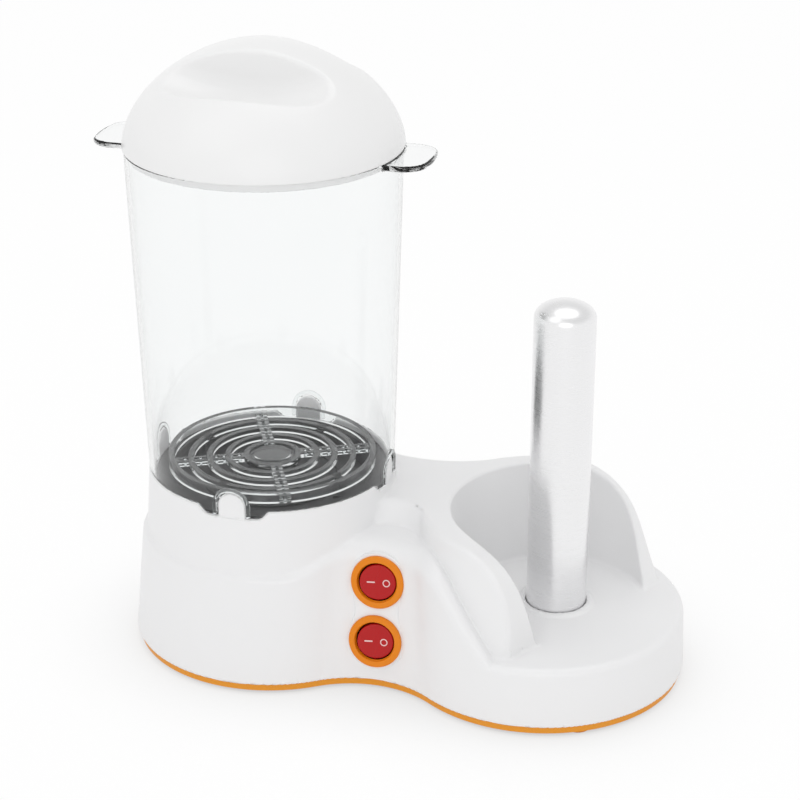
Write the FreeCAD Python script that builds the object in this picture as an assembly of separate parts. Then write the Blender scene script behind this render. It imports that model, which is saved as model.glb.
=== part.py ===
import FreeCAD, Part
import math
import os

from FreeCAD import Vector

# Hot dog toaster. A clear jar that steams sausages stands on the drum of a
# two-lobed housing, and a heated spike that toasts the bun stands in a bay on the
# other lobe. X runs from the jar to the spike, the switches face -Y and Z is up.
# The origin is on the table, in the middle of the overall length. Millimetres.

# ---- driving dimensions ------------------------------------------------------

# clearances
LIFT_GAP = 0.4              # round the parts that lift off
SEAT_GAP = 0.3              # round the parts that are fixed in a hole or a recess
SHAFT_GAP = 0.05            # round a pin in its bearing

# heights above the table
FOOT_H = 2.0
RIM_H = 4.0                 # orange rim seen under the housing
LEDGE_Z = 66.5              # step round the drum
SHIELD_Z = 81.5             # top of the switch panel
PLATFORM_Z = 38.5           # floor of the bun bay
PLATEAU_Z = 94.5            # top of the bridge and of the bay wall
DRUM_TOP_Z = 102.4          # seat of the jar
JAR_TOP_Z = 280.0           # seat of the lid

# plan and walls of the housing
WALL = 2.5
LOBE_PITCH = 150.0          # drum centre to lobe centre
DRUM_R = 77.5               # at the lower edge
LOBE_R = 78.5
FLANK_R = 52.0              # hollow flanks between the two lobes
FLANK_TOP_R = 34.0          # the same at the top of the switch panel
DRUM_DRAFT = 0.1            # radius lost per millimetre of height
LOBE_DRAFT = 0.045
COLLAR_DRAFT = 0.067        # narrow upper part of the drum widens downwards by this
HUMP_R = 69.5               # wall round the bun bay, at the platform
HUMP_TOP_R = 63.8
ALCOVE_R = 15.5             # hollow between the collar and the bay wall, at the plateau
ALCOVE_FOOT_R = 90.0
REAR_R = 65.0               # rear flank of the upper tier
EDGE_R = 2.4                # rounding of the lower tier
CREST_R = 8.5               # rounding of the top of the switch panel
CREST_WALL = 5.5            # wall under that rounding
PANEL_X = (27.0, 57.0, 98.0, 115.0, 141.0)   # foot, crest, corner and foot of the panel
CORNER_DROP = 9.5           # fall of the panel's top over its corner
REAR_STEP_X = 84.0          # where the rear ledge starts to fall to the platform

# bun bay and spike
SPIKE_OFFSET = 159.0        # jar axis to spike axis
BAY_R = 49.5
BAY_TOP_R = 57.0
BAY_TURN = -26.0            # the bay opens this way, degrees from +X
BAY_FRONT = ((-34.0, 56.0), (7.2, 46.0), (20.0, 16.5), (21.8, -1.0))   # arched end
BAY_REAR = ((-38.0, 56.0), (6.4, 37.5), (21.9, 11.0), (31.0, -1.0))    # of the wall
SPIKE_R = 16.0
SPIKE_H = 172.0             # above the platform
SPIKE_WALL = 1.0
SPIKE_TIP = 9.0             # height of the domed tip
SPIKE_BOSS_R = 20.5
SPIKE_BOSS_H = 1.4
SPIKE_FLANGE_R = 21.0
SPIKE_FLANGE_T = 1.5
SPIKE_GASKET_T = 1.5
SPIKE_SEAT_T = 6.0
SPIKE_SEAT_R = 23.0
SPIKE_EAR = 32.0            # spike axis to the screws of its seat
SEAT_EAR_T = 3.0
SEAT_SCREW_L = 5.0
CARTRIDGE_R = 5.0
CARTRIDGE_L = 150.0
SPACER_T = 4.0

# jar, rack and lid
JAR_WALL = 2.2
JAR_R = 66.4
JAR_RIM_R = 71.6
EAR_REACH = 89.8            # jar axis to the tip of an ear
EAR_HALF = 21.0
EAR_CROWN_R = 60.0          # its end is slightly round
EAR_CORNER_R = 9.0
EAR_T = 3.0
NOTCH_HALF = 7.8
NOTCH_TOP = 10.0            # height of the arched notch above the jar's seat
TAB_DROP = 3.9
TAB_HALF = 14.5
TAB_SLOPE = 4.0
NOTCH_COUNT = 4
LID_R = 72.4
LID_H = 54.0
LID_WALL = 2.4
LID_POWER = 1.8             # fullness of the dome, 2 is an ellipse
LID_LIP_H = 4.0
LID_LIP_T = 2.0
GRIP_HALF = 15.2            # half the width of the grip bar
SCOOP_L = 61.7              # half length and half depth of the two finger hollows
SCOOP_R = 23.5
SCOOP_Y = 30.9
SCOOP_DROP = 2.9            # their centres lie this far under the lid's top
RACK_GAP = 7.0              # inside the pan's edge
RACK_T = 3.0
RACK_LEG_R = 3.0
RACK_RINGS = (14.0, 24.0, 34.0, 44.0)
RACK_BAR = 3.0
RACK_RIM_H = 6.0
RACK_TURN = -64.0           # direction of the first rib

# heating pan and its heater
PAN_GAP = 0.9               # pan inside its recess
PAN_FLANGE_W = 8.0
PAN_T = 1.4
PAN_TAPER = 5.0             # radius lost from the flange to the floor
PAN_DEPTH = 8.0
PAN_RIDGES = (18.0, 36.0)
SHELF_T = 3.0
SHELF_GAP = 1.2             # shelf's hole round the bowl
RECESS_WALL = 2.5           # lip of the drum outside the recess
PAN_GASKET_T = 1.5
PAN_SINK = 3.0              # flange below the top of the drum
PLATE_MARGIN = 4.0          # plate inside the pan's floor
PLATE_T = 5.0
COIL_INSET = 12.0           # coil inside the plate's edge
COIL_WIRE_R = 3.3
COIL_GAP = 24.0             # degrees left open
COIL_TAIL = 12.0            # sheathed ends turned down
COIL_PIN_R = 1.1
COIL_PIN = 8.0
STUD_R = 2.5
STUD_L = 14.0
STRAP_T = 1.5
STRAP_W = 12.0
STRAP_SCREW_L = 10.0
STRAP_DROP = 8.5            # strap below the heating plate
POST_R = 3.4
POST_GAP = 4.2              # posts outside the bowl
SENSOR_R = 8.0
SENSOR_H = 7.0
SENSOR_BLADE = 7.0          # length of its blades
SENSOR_FOOT = 2.0
FUSE_R = 2.0
FUSE_L = 14.0
FUSE_AT = (-12.0, -14.0)    # from the drum's axis
FUSE_LEAD = 6.0
SADDLE_T = 0.8
SADDLE_W = 6.0

# switches
SWITCH_X = 73.4             # lower switch
SWITCH_LEAN = -0.1          # upper switch further along X
SWITCH_LOW_Z = 29.3
SWITCH_STEP = 32.4
BEZEL_R = 14.4
BEZEL_BORE_R = 10.4
BEZEL_T = 2.4
PAD_H = 2.0                 # the flat pad stands this far out of the flank
PAD_MARGIN = 1.4
BARREL_R = 12.0
BARREL_L = 17.0
CUP_DEPTH = 7.0
ROCKER_R = 9.7
ROCKER_TOP = 1.0            # rocker's middle above the pad
ROCKER_BOTTOM = -3.4
ROCKER_TILT = 7.0
PIN_R = 1.2
PIN_DEPTH = 1.5
BLADE = (6.3, 0.8, 8.0)
BLADE_PITCH = 5.5
LAMP_R = 1.6
LAMP_L = 5.0

# base, feet and fasteners
BASE_INSET = 1.6
BASE_T = 2.4
LIP_T = 1.4
LIP_H = 2.6
FOOT_R = 7.0
FOOT_SINK = 0.8
FOOT_PLACES = ((183.8, -59.7), (183.8, 59.7), (-34.0, -52.0), (-34.0, 52.0))
BOSS_R = 4.4
BOSS_H = 22.0
SCREW_R = 1.5
HEAD_R = 2.9
HEAD_H = 1.6
DRUM_BOSS_ANGLES = (100.0, 180.0, 260.0)
LOBE_BOSS_ANGLES = (-85.0, 0.0, 85.0)
VENT_W = 3.0
VENT_L = 34.0
VENT_PITCH = 8.0
VENT_COUNT = 5

# supply entry
GLAND_X = 73.0
GLAND_Z = 20.0
GLAND_R = 6.5
GLAND_BORE_R = 3.6
GLAND_FLANGE_R = 8.6
GLAND_FLANGE_T = 2.6
GLAND_PAD_R = 11.0
GLAND_PAD_T = 5.0
BLOCK_SIZE = (26.0, 16.0, 13.0)
BLOCK_Y = 18.0

# ---- derived places ----------------------------------------------------------

EDGE_Z = FOOT_H + RIM_H
OVERALL_X = EAR_REACH + LOBE_PITCH + LOBE_R
DRUM_X = EAR_REACH - OVERALL_X / 2
LOBE_X = DRUM_X + LOBE_PITCH
SPIKE_X = DRUM_X + SPIKE_OFFSET
UP = Vector(0, 0, 1)

COLLAR_TOP_R = JAR_R + 0.2
RECESS_R = COLLAR_TOP_R - RECESS_WALL
PAN_R = RECESS_R - PAN_GAP
PAN_BOWL_R = PAN_R - PAN_FLANGE_W
PAN_FLOOR_R = PAN_BOWL_R - PAN_TAPER
SHELF_R = PAN_BOWL_R + SHELF_GAP
PLATE_R = PAN_FLOOR_R - PLATE_MARGIN
COIL_R = PLATE_R - COIL_INSET
POST_OFFSET = PAN_BOWL_R + POST_GAP
RACK_R = PAN_R - RACK_GAP

FLANGE_Z = DRUM_TOP_Z - PAN_SINK
SHELF_Z = FLANGE_Z - PAN_T - PAN_GASKET_T
PAN_FLOOR_Z = FLANGE_Z - PAN_DEPTH
PLATE_Z = PAN_FLOOR_Z - PAN_T - PLATE_T
STRAP_Z = PLATE_Z - STRAP_DROP
RACK_Z = DRUM_TOP_Z + 0.6

SPIKE_GASKET_Z = PLATFORM_Z - WALL - SPIKE_GASKET_T
SPIKE_FLANGE_Z = SPIKE_GASKET_Z - SPIKE_FLANGE_T
SPIKE_SEAT_Z = SPIKE_FLANGE_Z - SPIKE_SEAT_T
SPIKE_TOP_Z = PLATFORM_Z + SPIKE_H


# ---- small helpers -----------------------------------------------------------

def save(name, shape):
    """Write one node's solids to its own STEP file."""
    os.makedirs("parts", exist_ok=True)
    shape.exportStep("parts/%s.step" % name)


def disc(radius, z0, z1, x=DRUM_X, y=0.0):
    return Part.makeCylinder(radius, z1 - z0, Vector(x, y, z0), UP)


def cone(r0, r1, z0, z1, x=DRUM_X, y=0.0):
    return Part.makeCone(r0, r1, z1 - z0, Vector(x, y, z0), UP)


def ring(r_in, r_out, z0, z1, x=DRUM_X, y=0.0):
    return disc(r_out, z0, z1, x, y).cut(disc(r_in, z0 - 1, z1 + 1, x, y))


def block(x0, x1, y0, y1, z0, z1):
    return Part.makeBox(x1 - x0, y1 - y0, z1 - z0, Vector(x0, y0, z0))


def prism(points, direction):
    """Extrude a closed polygon along a vector."""
    wire = Part.makePolygon(list(points) + [points[0]])
    return Part.Face(wire).extrude(direction)


def polar(x, radius, degrees):
    turn = math.radians(degrees)
    return x + radius * math.cos(turn), radius * math.sin(turn)


def turned(shape, degrees, x=DRUM_X):
    """A copy turned about a vertical axis."""
    copy = shape.copy()
    copy.rotate(Vector(x, 0, 0), UP, degrees)
    return copy


# ---- housing -----------------------------------------------------------------

def flank_centre(r_drum, r_lobe, r_flank):
    """Centre of the hollow arc that touches both lobes, on the front side."""
    a = r_drum + r_flank
    b = r_lobe + r_flank
    x = (a * a - b * b + LOBE_PITCH ** 2) / (2 * LOBE_PITCH)
    return Vector(DRUM_X + x, -math.sqrt(a * a - x * x), 0)


def on_circle(centre, radius, towards):
    step = Vector(towards).sub(centre)
    step.normalize()
    return Vector(centre).add(step.multiply(radius))


def outline(z, r_drum, r_lobe, r_front, r_rear):
    """Two-lobed outline of four tangent arcs at height z."""
    drum = Vector(DRUM_X, 0, 0)
    lobe = Vector(LOBE_X, 0, 0)
    front = flank_centre(r_drum, r_lobe, r_front)
    rear = flank_centre(r_drum, r_lobe, r_rear)
    rear.y = -rear.y
    corners = [on_circle(drum, r_drum, rear), on_circle(drum, r_drum, front),
               on_circle(lobe, r_lobe, front), on_circle(lobe, r_lobe, rear)]
    front_middle = corners[1].add(corners[2]).multiply(0.5)
    rear_middle = corners[3].add(corners[0]).multiply(0.5)
    middles = [Vector(DRUM_X - r_drum, 0, 0), on_circle(front, r_front, front_middle),
               Vector(LOBE_X + r_lobe, 0, 0), on_circle(rear, r_rear, rear_middle)]
    lift = Vector(0, 0, z)
    edges = []
    for i in range(4):
        arc = Part.Arc(corners[i].add(lift), middles[i].add(lift),
                       corners[(i + 1) % 4].add(lift))
        edges.append(arc.toShape())
    return Part.Wire(edges)


def lower_radii(z, inset):
    """Radii of the lower tier's outline at height z."""
    rise = z - EDGE_Z
    flank = FLANK_R + (FLANK_TOP_R - FLANK_R) * rise / (SHIELD_Z - EDGE_Z)
    return (DRUM_R - DRUM_DRAFT * rise - inset, LOBE_R - LOBE_DRAFT * rise - inset,
            flank + inset, flank + inset)


def flank_y(z):
    """Distance of the front flank's hollow from the XZ plane at height z."""
    radii = lower_radii(z, 0)
    return -(flank_centre(radii[0], radii[1], radii[2]).y + radii[2])


def tier(z0, radii0, z1, radii1):
    return Part.makeLoft([outline(z0, *radii0), outline(z1, *radii1)], True, True)


def panel_profile(inset):
    """Front view of the lower tier's top: ledge, raised switch panel, platform."""
    foot_x, crest_x, corner_x, fall_x, end_x = [DRUM_X + x for x in PANEL_X]
    ledge = LEDGE_Z - inset
    crest = SHIELD_Z - (CREST_WALL if inset else 0)
    fall = SHIELD_Z - CORNER_DROP - inset
    rise = Part.BSplineCurve()
    rise.interpolate(Points=[Vector(foot_x, 0, ledge), Vector(crest_x, 0, crest)],
                     InitialTangent=Vector(30, 0, 6), FinalTangent=Vector(26, 0, 0))
    corner = Part.BSplineCurve()
    corner.interpolate(Points=[Vector(corner_x - inset, 0, crest), Vector(fall_x - inset, 0, fall)],
                       InitialTangent=Vector(16, 0, 0), FinalTangent=Vector(12, 0, -15))
    return [(foot_x, ledge), rise.toShape(), (crest_x, crest), (corner_x - inset, crest),
            corner.toShape(), (fall_x - inset, fall), (end_x - inset, PLATFORM_Z - inset)]


def rear_profile(inset):
    """Rear view of the lower tier's top: level ledge that falls to the platform."""
    ledge = LEDGE_Z - inset
    x0 = DRUM_X + REAR_STEP_X - inset
    x1 = DRUM_X + PANEL_X[4] - inset
    fall = Part.BSplineCurve()
    fall.interpolate(Points=[Vector(x0, 0, ledge), Vector(x1, 0, PLATFORM_Z - inset)],
                     InitialTangent=Vector(60, 0, 0), FinalTangent=Vector(30, 0, -26))
    return [(x0, ledge), fall.toShape(), (x1, PLATFORM_Z - inset)]


def profile_prism(profile, start_z, end_z, side):
    """Close a top profile below and extrude it to the front or the rear."""
    left = DRUM_X - DRUM_R - 5
    right = LOBE_X + LOBE_R + 5
    items = [(left, start_z)] + profile + [(right, end_z), (right, -10), (left, -10)]
    edges = []
    last = None
    for item in items + [items[0]]:
        if isinstance(item, tuple):
            point = Vector(item[0], 0, item[1])
            if last is not None:
                edges.append(Part.makeLine(last, point))
            last = point
        else:
            edges.append(item)
            last = None
    return Part.Face(Part.Wire(edges)).extrude(Vector(0, side * (LOBE_R + 5), 0))


def lower_tier(inset):
    """Front and rear halves of the wide lower part of the housing."""
    top = SHIELD_Z + 10
    start = EDGE_Z - (5 if inset else 0)
    body = tier(start, lower_radii(start, inset), top, lower_radii(top, inset))
    ledge = LEDGE_Z - inset
    platform = PLATFORM_Z - inset
    front = body.common(profile_prism(panel_profile(inset), ledge, platform, -1))
    rear = body.common(profile_prism(rear_profile(inset), ledge, platform, 1))
    return front, rear


def edge_radius(x):
    """Rounding of the front tier's top edge at x: largest on the panel's crest."""
    foot, crest, corner, fall, end = [DRUM_X + value for value in PANEL_X]
    if x <= foot or x >= end:
        return EDGE_R
    if x < crest:
        return EDGE_R + (CREST_R - EDGE_R) * (x - foot) / (crest - foot)
    if x <= corner:
        return CREST_R
    return CREST_R + (EDGE_R - CREST_R) * (x - corner) / (end - corner)


def soften(shape, radius_at, above):
    """Round the outer top edges of a half of the lower tier that lie above a height."""
    picks = []
    for number, edge in enumerate(shape.Edges, 1):
        middle = edge.valueAt((edge.FirstParameter + edge.LastParameter) / 2)
        box = edge.BoundBox
        if box.ZMin > above and abs(middle.y) > 1 and box.XLength > 0.01:
            ends = [edge.valueAt(edge.FirstParameter), edge.valueAt(edge.LastParameter)]
            picks.append((number, radius_at(ends[0].x), radius_at(ends[1].x)))
    document = FreeCAD.newDocument("soften")
    base = document.addObject("Part::Feature", "Base")
    base.Shape = shape
    rounded = document.addObject("Part::Fillet", "Rounded")
    rounded.Base = base
    rounded.Edges = picks
    document.recompute()
    result = rounded.Shape.copy()
    FreeCAD.closeDocument(document.Name)
    return result


def bay_arch(inset):
    """Everything under the arched ends of the bay wall, ruled from its front end to its rear."""
    turn = math.radians(BAY_TURN)
    along = Vector(math.cos(turn), math.sin(turn), 0)
    across = Vector(-math.sin(turn), math.cos(turn), 0)
    reach = LOBE_PITCH + DRUM_R
    top = PLATEAU_Z - inset
    spread = reach / (BAY_R + 2 * WALL)

    def edge(side):
        points = []
        for (t0, z0), (t1, z1) in zip(BAY_FRONT, BAY_REAR):
            middle = (t0 + t1) / 2
            t = middle + (t1 - t0) / 2 * side * spread
            z = (z0 + z1) / 2 + (z1 - z0) / 2 * side * spread
            place = Vector(SPIKE_X, 0, PLATFORM_Z + z - inset)
            place = place.add(Vector(along).multiply(t - inset))
            points.append(place.add(Vector(across).multiply(side * reach)))
        curve = Part.BSplineCurve()
        curve.interpolate(Points=points, InitialTangent=Vector(along).multiply(40))
        far = points[0].sub(Vector(along).multiply(reach))
        foot = Vector(points[-1].x, points[-1].y, -10)
        back = Vector(far.x, far.y, -10)
        return Part.Wire([curve.toShape(), Part.makeLine(points[-1], foot),
                          Part.makeLine(foot, back), Part.makeLine(back, far),
                          Part.makeLine(far, points[0])])

    return Part.makeLoft([edge(-1), edge(1)], True, True)


def upper_tier(inset):
    """Bridge and wall round the bay."""
    top = PLATEAU_Z - inset
    foot = PLATFORM_Z - 6 - inset
    under_collar = COLLAR_TOP_R - 1.2 - inset
    body = tier(foot, (under_collar, HUMP_R - inset, ALCOVE_FOOT_R + inset, REAR_R + inset),
                top, (under_collar, HUMP_TOP_R - inset, ALCOVE_R + inset, REAR_R + inset))
    return body.common(bay_arch(inset))


def bay_cut(inset):
    return cone(BAY_R + inset, BAY_TOP_R + inset, PLATFORM_Z - inset, PLATEAU_Z + 2, SPIKE_X)


def rim_lug(half, top, r_in, r_out, z0):
    """Arched tongue on a ring, facing -Y."""
    post = block(DRUM_X - half, DRUM_X + half, -r_out - 1, -r_in + 1, z0, top - half)
    head = Part.makeCylinder(half, r_out - r_in + 2, Vector(DRUM_X, -r_in + 1, top - half),
                             Vector(0, -1, 0))
    return post.fuse(head).common(ring(r_in, r_out, z0, top + 1))


def tab_prism(gap):
    """Outline of the jar's two tabs beside a notch, pushed through the wall at -Y."""
    low = DRUM_TOP_Z - TAB_DROP - gap
    wide = TAB_HALF + gap
    points = [(-wide, low), (wide, low), (wide + TAB_SLOPE, DRUM_TOP_Z),
              (wide + TAB_SLOPE, DRUM_TOP_Z + 2), (-wide - TAB_SLOPE, DRUM_TOP_Z + 2),
              (-wide - TAB_SLOPE, DRUM_TOP_Z)]
    corners = [Vector(DRUM_X + x, -RECESS_R + 6, z) for x, z in points]
    return prism(corners, Vector(0, -14, 0))


def panel_frame(z):
    """Point on the switch pad's face at height z, its outward normal and its up-slope."""
    lean = math.atan((flank_y(EDGE_Z) - flank_y(SHIELD_Z)) / (SHIELD_Z - EDGE_Z))
    normal = Vector(0, -math.cos(lean), math.sin(lean))
    slope = Vector(0, math.sin(lean), math.cos(lean))
    x = SWITCH_X + SWITCH_LEAN * (z - SWITCH_LOW_Z) / SWITCH_STEP
    point = Vector(DRUM_X + x, -flank_y(z) - PAD_H, z)
    return point, normal, slope


def switch_heights():
    return (SWITCH_LOW_Z, SWITCH_LOW_Z + SWITCH_STEP)


def pad_shape(radius, start, length):
    """Figure-eight round both switches, from start to start + length along the normal."""
    low, normal, slope = panel_frame(SWITCH_LOW_Z)
    high = panel_frame(SWITCH_LOW_Z + SWITCH_STEP)[0]
    rods = [Part.makeCylinder(radius, length, p.add(Vector(normal).multiply(start)), normal)
            for p in (low, high)]
    width = radius * 1.5
    corner = low.add(Vector(normal).multiply(start)).sub(Vector(width / 2, 0, 0))
    span = high.sub(low)
    web = Part.Face(Part.makePolygon([corner, corner.add(Vector(width, 0, 0)),
                                      corner.add(Vector(width, 0, 0)).add(span),
                                      corner.add(span), corner]))
    return rods[0].fuse([rods[1], web.extrude(Vector(normal).multiply(length))])


def screw_places():
    """Centres of the base screws, each in a boss on the housing's wall."""
    at = [polar(DRUM_X, DRUM_R - WALL - BOSS_R + 0.4, a) for a in DRUM_BOSS_ANGLES]
    at += [polar(LOBE_X, LOBE_R - WALL - BOSS_R + 0.4, a) for a in LOBE_BOSS_ANGLES]
    return at


def post_places():
    return ((DRUM_X, POST_OFFSET), (DRUM_X, -POST_OFFSET))


def ear_places():
    return ((SPIKE_X - SPIKE_EAR, 0), (SPIKE_X + SPIKE_EAR, 0))


def gland_face_y():
    """Outer face of the gland's pad in the rear flank."""
    return flank_y(GLAND_Z) - 1.5


def collar_radius(z):
    return COLLAR_TOP_R + COLLAR_DRAFT * (DRUM_TOP_Z - z)


def housing_outside():
    front, rear = lower_tier(0)
    front = soften(front, edge_radius, PLATFORM_Z - 0.4)
    rear = soften(rear, lambda x: EDGE_R, LEDGE_Z - 0.4)
    low = LEDGE_Z - 10
    collar = cone(collar_radius(low), COLLAR_TOP_R, low, DRUM_TOP_Z)
    body = front.fuse([rear, collar, upper_tier(0)])
    body = body.cut(bay_cut(0))
    boss = cone(SPIKE_BOSS_R, SPIKE_BOSS_R - SPIKE_BOSS_H, PLATFORM_Z - 0.5,
                PLATFORM_Z + SPIKE_BOSS_H, SPIKE_X)
    return body.fuse(boss)


def housing_inside():
    """Cavity of the moulded shell."""
    front, rear = lower_tier(WALL)
    low = LEDGE_Z - 12
    high = SHELF_Z - SHELF_T
    collar = cone(collar_radius(low) - WALL, collar_radius(high) - WALL, low, high)
    body = front.fuse([rear, collar, upper_tier(WALL)])
    return body.cut(bay_cut(WALL))


def housing():
    body = housing_outside().cut(housing_inside())
    body = body.cut(disc(RECESS_R, SHELF_Z, DRUM_TOP_Z + 1))
    body = body.cut(disc(SHELF_R, SHELF_Z - SHELF_T - 1, SHELF_Z + 1))
    for i in range(NOTCH_COUNT):
        body = body.cut(turned(tab_prism(LIFT_GAP), 360 / NOTCH_COUNT * i))
    lug = rim_lug(NOTCH_HALF - LIFT_GAP, DRUM_TOP_Z + NOTCH_TOP - LIFT_GAP, RECESS_R,
                  JAR_R - 0.2, SHELF_Z + 1)
    lugs = [turned(lug, 360 / NOTCH_COUNT * i) for i in range(NOTCH_COUNT)]
    bosses = [disc(BOSS_R, EDGE_Z, EDGE_Z + BOSS_H, x, y) for x, y in screw_places()]
    posts = [disc(POST_R, STRAP_Z + STRAP_T, SHELF_Z - SHELF_T + 0.5, x, y)
             for x, y in post_places()]
    ears = [disc(BOSS_R, SPIKE_FLANGE_Z, PLATFORM_Z - WALL + 0.5, x, y)
            for x, y in ear_places()]
    gland = Part.makeCylinder(GLAND_PAD_R, GLAND_PAD_T,
                              Vector(DRUM_X + GLAND_X, gland_face_y() - GLAND_PAD_T, GLAND_Z),
                              Vector(0, 1, 0))
    pad = pad_shape(BEZEL_R + PAD_MARGIN, -PAD_H - WALL - 1, PAD_H + WALL + 1)
    clear = pad_shape(BEZEL_R + PAD_MARGIN, 0, 12)
    body = body.fuse(lugs + bosses + posts + ears + [gland, pad]).cut(clear)
    return drill_housing(body).removeSplitter()


def drill_housing(body):
    """Screw holes, switch bores, spike hole and the supply entry."""
    holes = [disc(SCREW_R - 0.15, EDGE_Z - 1, EDGE_Z + BOSS_H - 3, x, y)
             for x, y in screw_places()]
    holes += [disc(SCREW_R - 0.15, STRAP_Z, STRAP_Z + 12, x, y) for x, y in post_places()]
    holes += [disc(SCREW_R - 0.15, SPIKE_FLANGE_Z - 1, PLATFORM_Z - WALL, x, y)
              for x, y in ear_places()]
    holes.append(disc(SPIKE_R + SEAT_GAP, SPIKE_FLANGE_Z, PLATFORM_Z + 5, SPIKE_X))
    for z in switch_heights():
        point, normal, slope = panel_frame(z)
        start = point.add(Vector(normal).multiply(5))
        holes.append(Part.makeCylinder(BARREL_R + SEAT_GAP, 20, start,
                                       Vector(normal).multiply(-1)))
    x = DRUM_X + GLAND_X
    y = gland_face_y()
    back = Vector(0, 1, 0)
    holes.append(Part.makeCylinder(GLAND_R + SEAT_GAP, 20, Vector(x, y - 15, GLAND_Z), back))
    holes.append(Part.makeCylinder(GLAND_FLANGE_R + SEAT_GAP, 12, Vector(x, y, GLAND_Z), back))
    return body.cut(holes)


# ---- base, feet and screws ---------------------------------------------------

def flat_outline(inset, z0, z1):
    """Upright prism of the housing's lower outline, drawn in by inset."""
    wire = outline(z0, DRUM_R - inset, LOBE_R - inset, FLANK_R + inset, FLANK_R + inset)
    return Part.Face(wire).extrude(Vector(0, 0, z1 - z0))


def base_plate():
    floor_z = FOOT_H + BASE_T
    body = flat_outline(BASE_INSET, FOOT_H, EDGE_Z)
    lip_out = WALL + SEAT_GAP + (flank_y(EDGE_Z) - flank_y(EDGE_Z + LIP_H))
    body = body.cut(flat_outline(lip_out + LIP_T, floor_z, EDGE_Z + 1))
    lip = flat_outline(lip_out, EDGE_Z, EDGE_Z + LIP_H)
    lip = lip.cut(flat_outline(lip_out + LIP_T, EDGE_Z - 1, EDGE_Z + LIP_H + 1))
    cuts = [disc(BOSS_R + SEAT_GAP + 1.0, EDGE_Z, EDGE_Z + LIP_H + 1, x, y)
            for x, y in screw_places()]
    body = body.fuse(lip.cut(cuts))
    pillars = [disc(BOSS_R, floor_z - 0.5, EDGE_Z, x, y) for x, y in screw_places()]
    body = body.fuse(pillars)
    holes = [disc(SCREW_R + SEAT_GAP, FOOT_H - 1, EDGE_Z + 1, x, y) for x, y in screw_places()]
    holes += [disc(HEAD_R + SEAT_GAP, FOOT_H - 1, FOOT_H + HEAD_H + 0.4, x, y)
              for x, y in screw_places()]
    holes += [disc(FOOT_R + SEAT_GAP, FOOT_H - 1, FOOT_H + FOOT_SINK, DRUM_X + x, y)
              for x, y in FOOT_PLACES]
    holes += vent_slots()
    return body.cut(holes)


def vent_slots():
    """Rows of slots under the pan and under the bay."""
    slots = []
    for x in (DRUM_X, LOBE_X):
        for i in range(VENT_COUNT):
            y = (i - (VENT_COUNT - 1) / 2) * VENT_PITCH
            slots.append(block(x - VENT_L / 2, x + VENT_L / 2, y - VENT_W / 2, y + VENT_W / 2,
                               FOOT_H - 1, FOOT_H + BASE_T + 1))
    return slots


def feet():
    return [disc(FOOT_R, 0, FOOT_H + FOOT_SINK, DRUM_X + x, y) for x, y in FOOT_PLACES]


def screw(x, y, head_z, length):
    """Pan-head screw driven upwards, with a cross recess left plain."""
    head = cone(HEAD_R - 0.5, HEAD_R, head_z - HEAD_H, head_z, x, y)
    return head.fuse(disc(SCREW_R - 0.2, head_z - 0.2, head_z + length, x, y))


def base_screws():
    head_z = FOOT_H + HEAD_H + 0.4
    return [screw(x, y, head_z, EDGE_Z + BOSS_H - 5 - head_z) for x, y in screw_places()]


# ---- steaming side -----------------------------------------------------------

def heating_pan():
    flange = ring(PAN_BOWL_R, PAN_R, FLANGE_Z - PAN_T, FLANGE_Z)
    outer = cone(PAN_FLOOR_R + PAN_T, PAN_BOWL_R + PAN_T, PAN_FLOOR_Z - PAN_T, FLANGE_Z - PAN_T)
    outer = outer.fuse(disc(PAN_BOWL_R + PAN_T, FLANGE_Z - PAN_T, FLANGE_Z))
    inner = cone(PAN_FLOOR_R, PAN_BOWL_R, PAN_FLOOR_Z, FLANGE_Z + 0.01)
    body = flange.fuse(outer).cut(inner)
    for radius in PAN_RIDGES:
        body = body.fuse(ring(radius, radius + 1.2, PAN_FLOOR_Z - 0.2, PAN_FLOOR_Z + 0.8))
    return body.removeSplitter()


def heating_plate():
    """Aluminium plate under the pan, with a groove for the heating coil and a stud."""
    body = disc(PLATE_R, PLATE_Z, PLATE_Z + PLATE_T)
    groove = Part.makeTorus(COIL_R, COIL_WIRE_R + SEAT_GAP, Vector(DRUM_X, 0, PLATE_Z), UP)
    stud = disc(STUD_R, PLATE_Z - STUD_L, PLATE_Z + 0.5)
    return body.cut(groove).fuse(stud)


def heating_coil():
    """Sheathed coil in the plate's groove, open at one side with its ends turned down."""
    torus = Part.makeTorus(COIL_R, COIL_WIRE_R, Vector(DRUM_X, 0, PLATE_Z), UP, -180, 180,
                           360 - COIL_GAP)
    torus.rotate(Vector(DRUM_X, 0, 0), UP, COIL_GAP / 2)
    body = torus
    for angle in (COIL_GAP / 2, -COIL_GAP / 2):
        x, y = polar(DRUM_X, COIL_R, angle)
        body = body.fuse(disc(COIL_WIRE_R * 0.98, PLATE_Z - COIL_TAIL, PLATE_Z, x, y))
        body = body.fuse(disc(COIL_PIN_R, PLATE_Z - COIL_TAIL - COIL_PIN, PLATE_Z - COIL_TAIL + 1,
                              x, y))
    return body


def pan_strap():
    """Steel strap that pulls the pan down, screwed to two posts of the housing."""
    half = POST_OFFSET + POST_R
    body = block(DRUM_X - STRAP_W / 2, DRUM_X + STRAP_W / 2, -half, half, STRAP_Z,
                 STRAP_Z + STRAP_T)
    body = body.common(disc(half, STRAP_Z - 1, STRAP_Z + STRAP_T + 1))
    holes = [disc(STUD_R + SEAT_GAP, STRAP_Z - 1, STRAP_Z + STRAP_T + 1)]
    holes += [disc(SCREW_R + SEAT_GAP, STRAP_Z - 1, STRAP_Z + STRAP_T + 1, x, y)
              for x, y in post_places()]
    return body.cut(holes)


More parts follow.
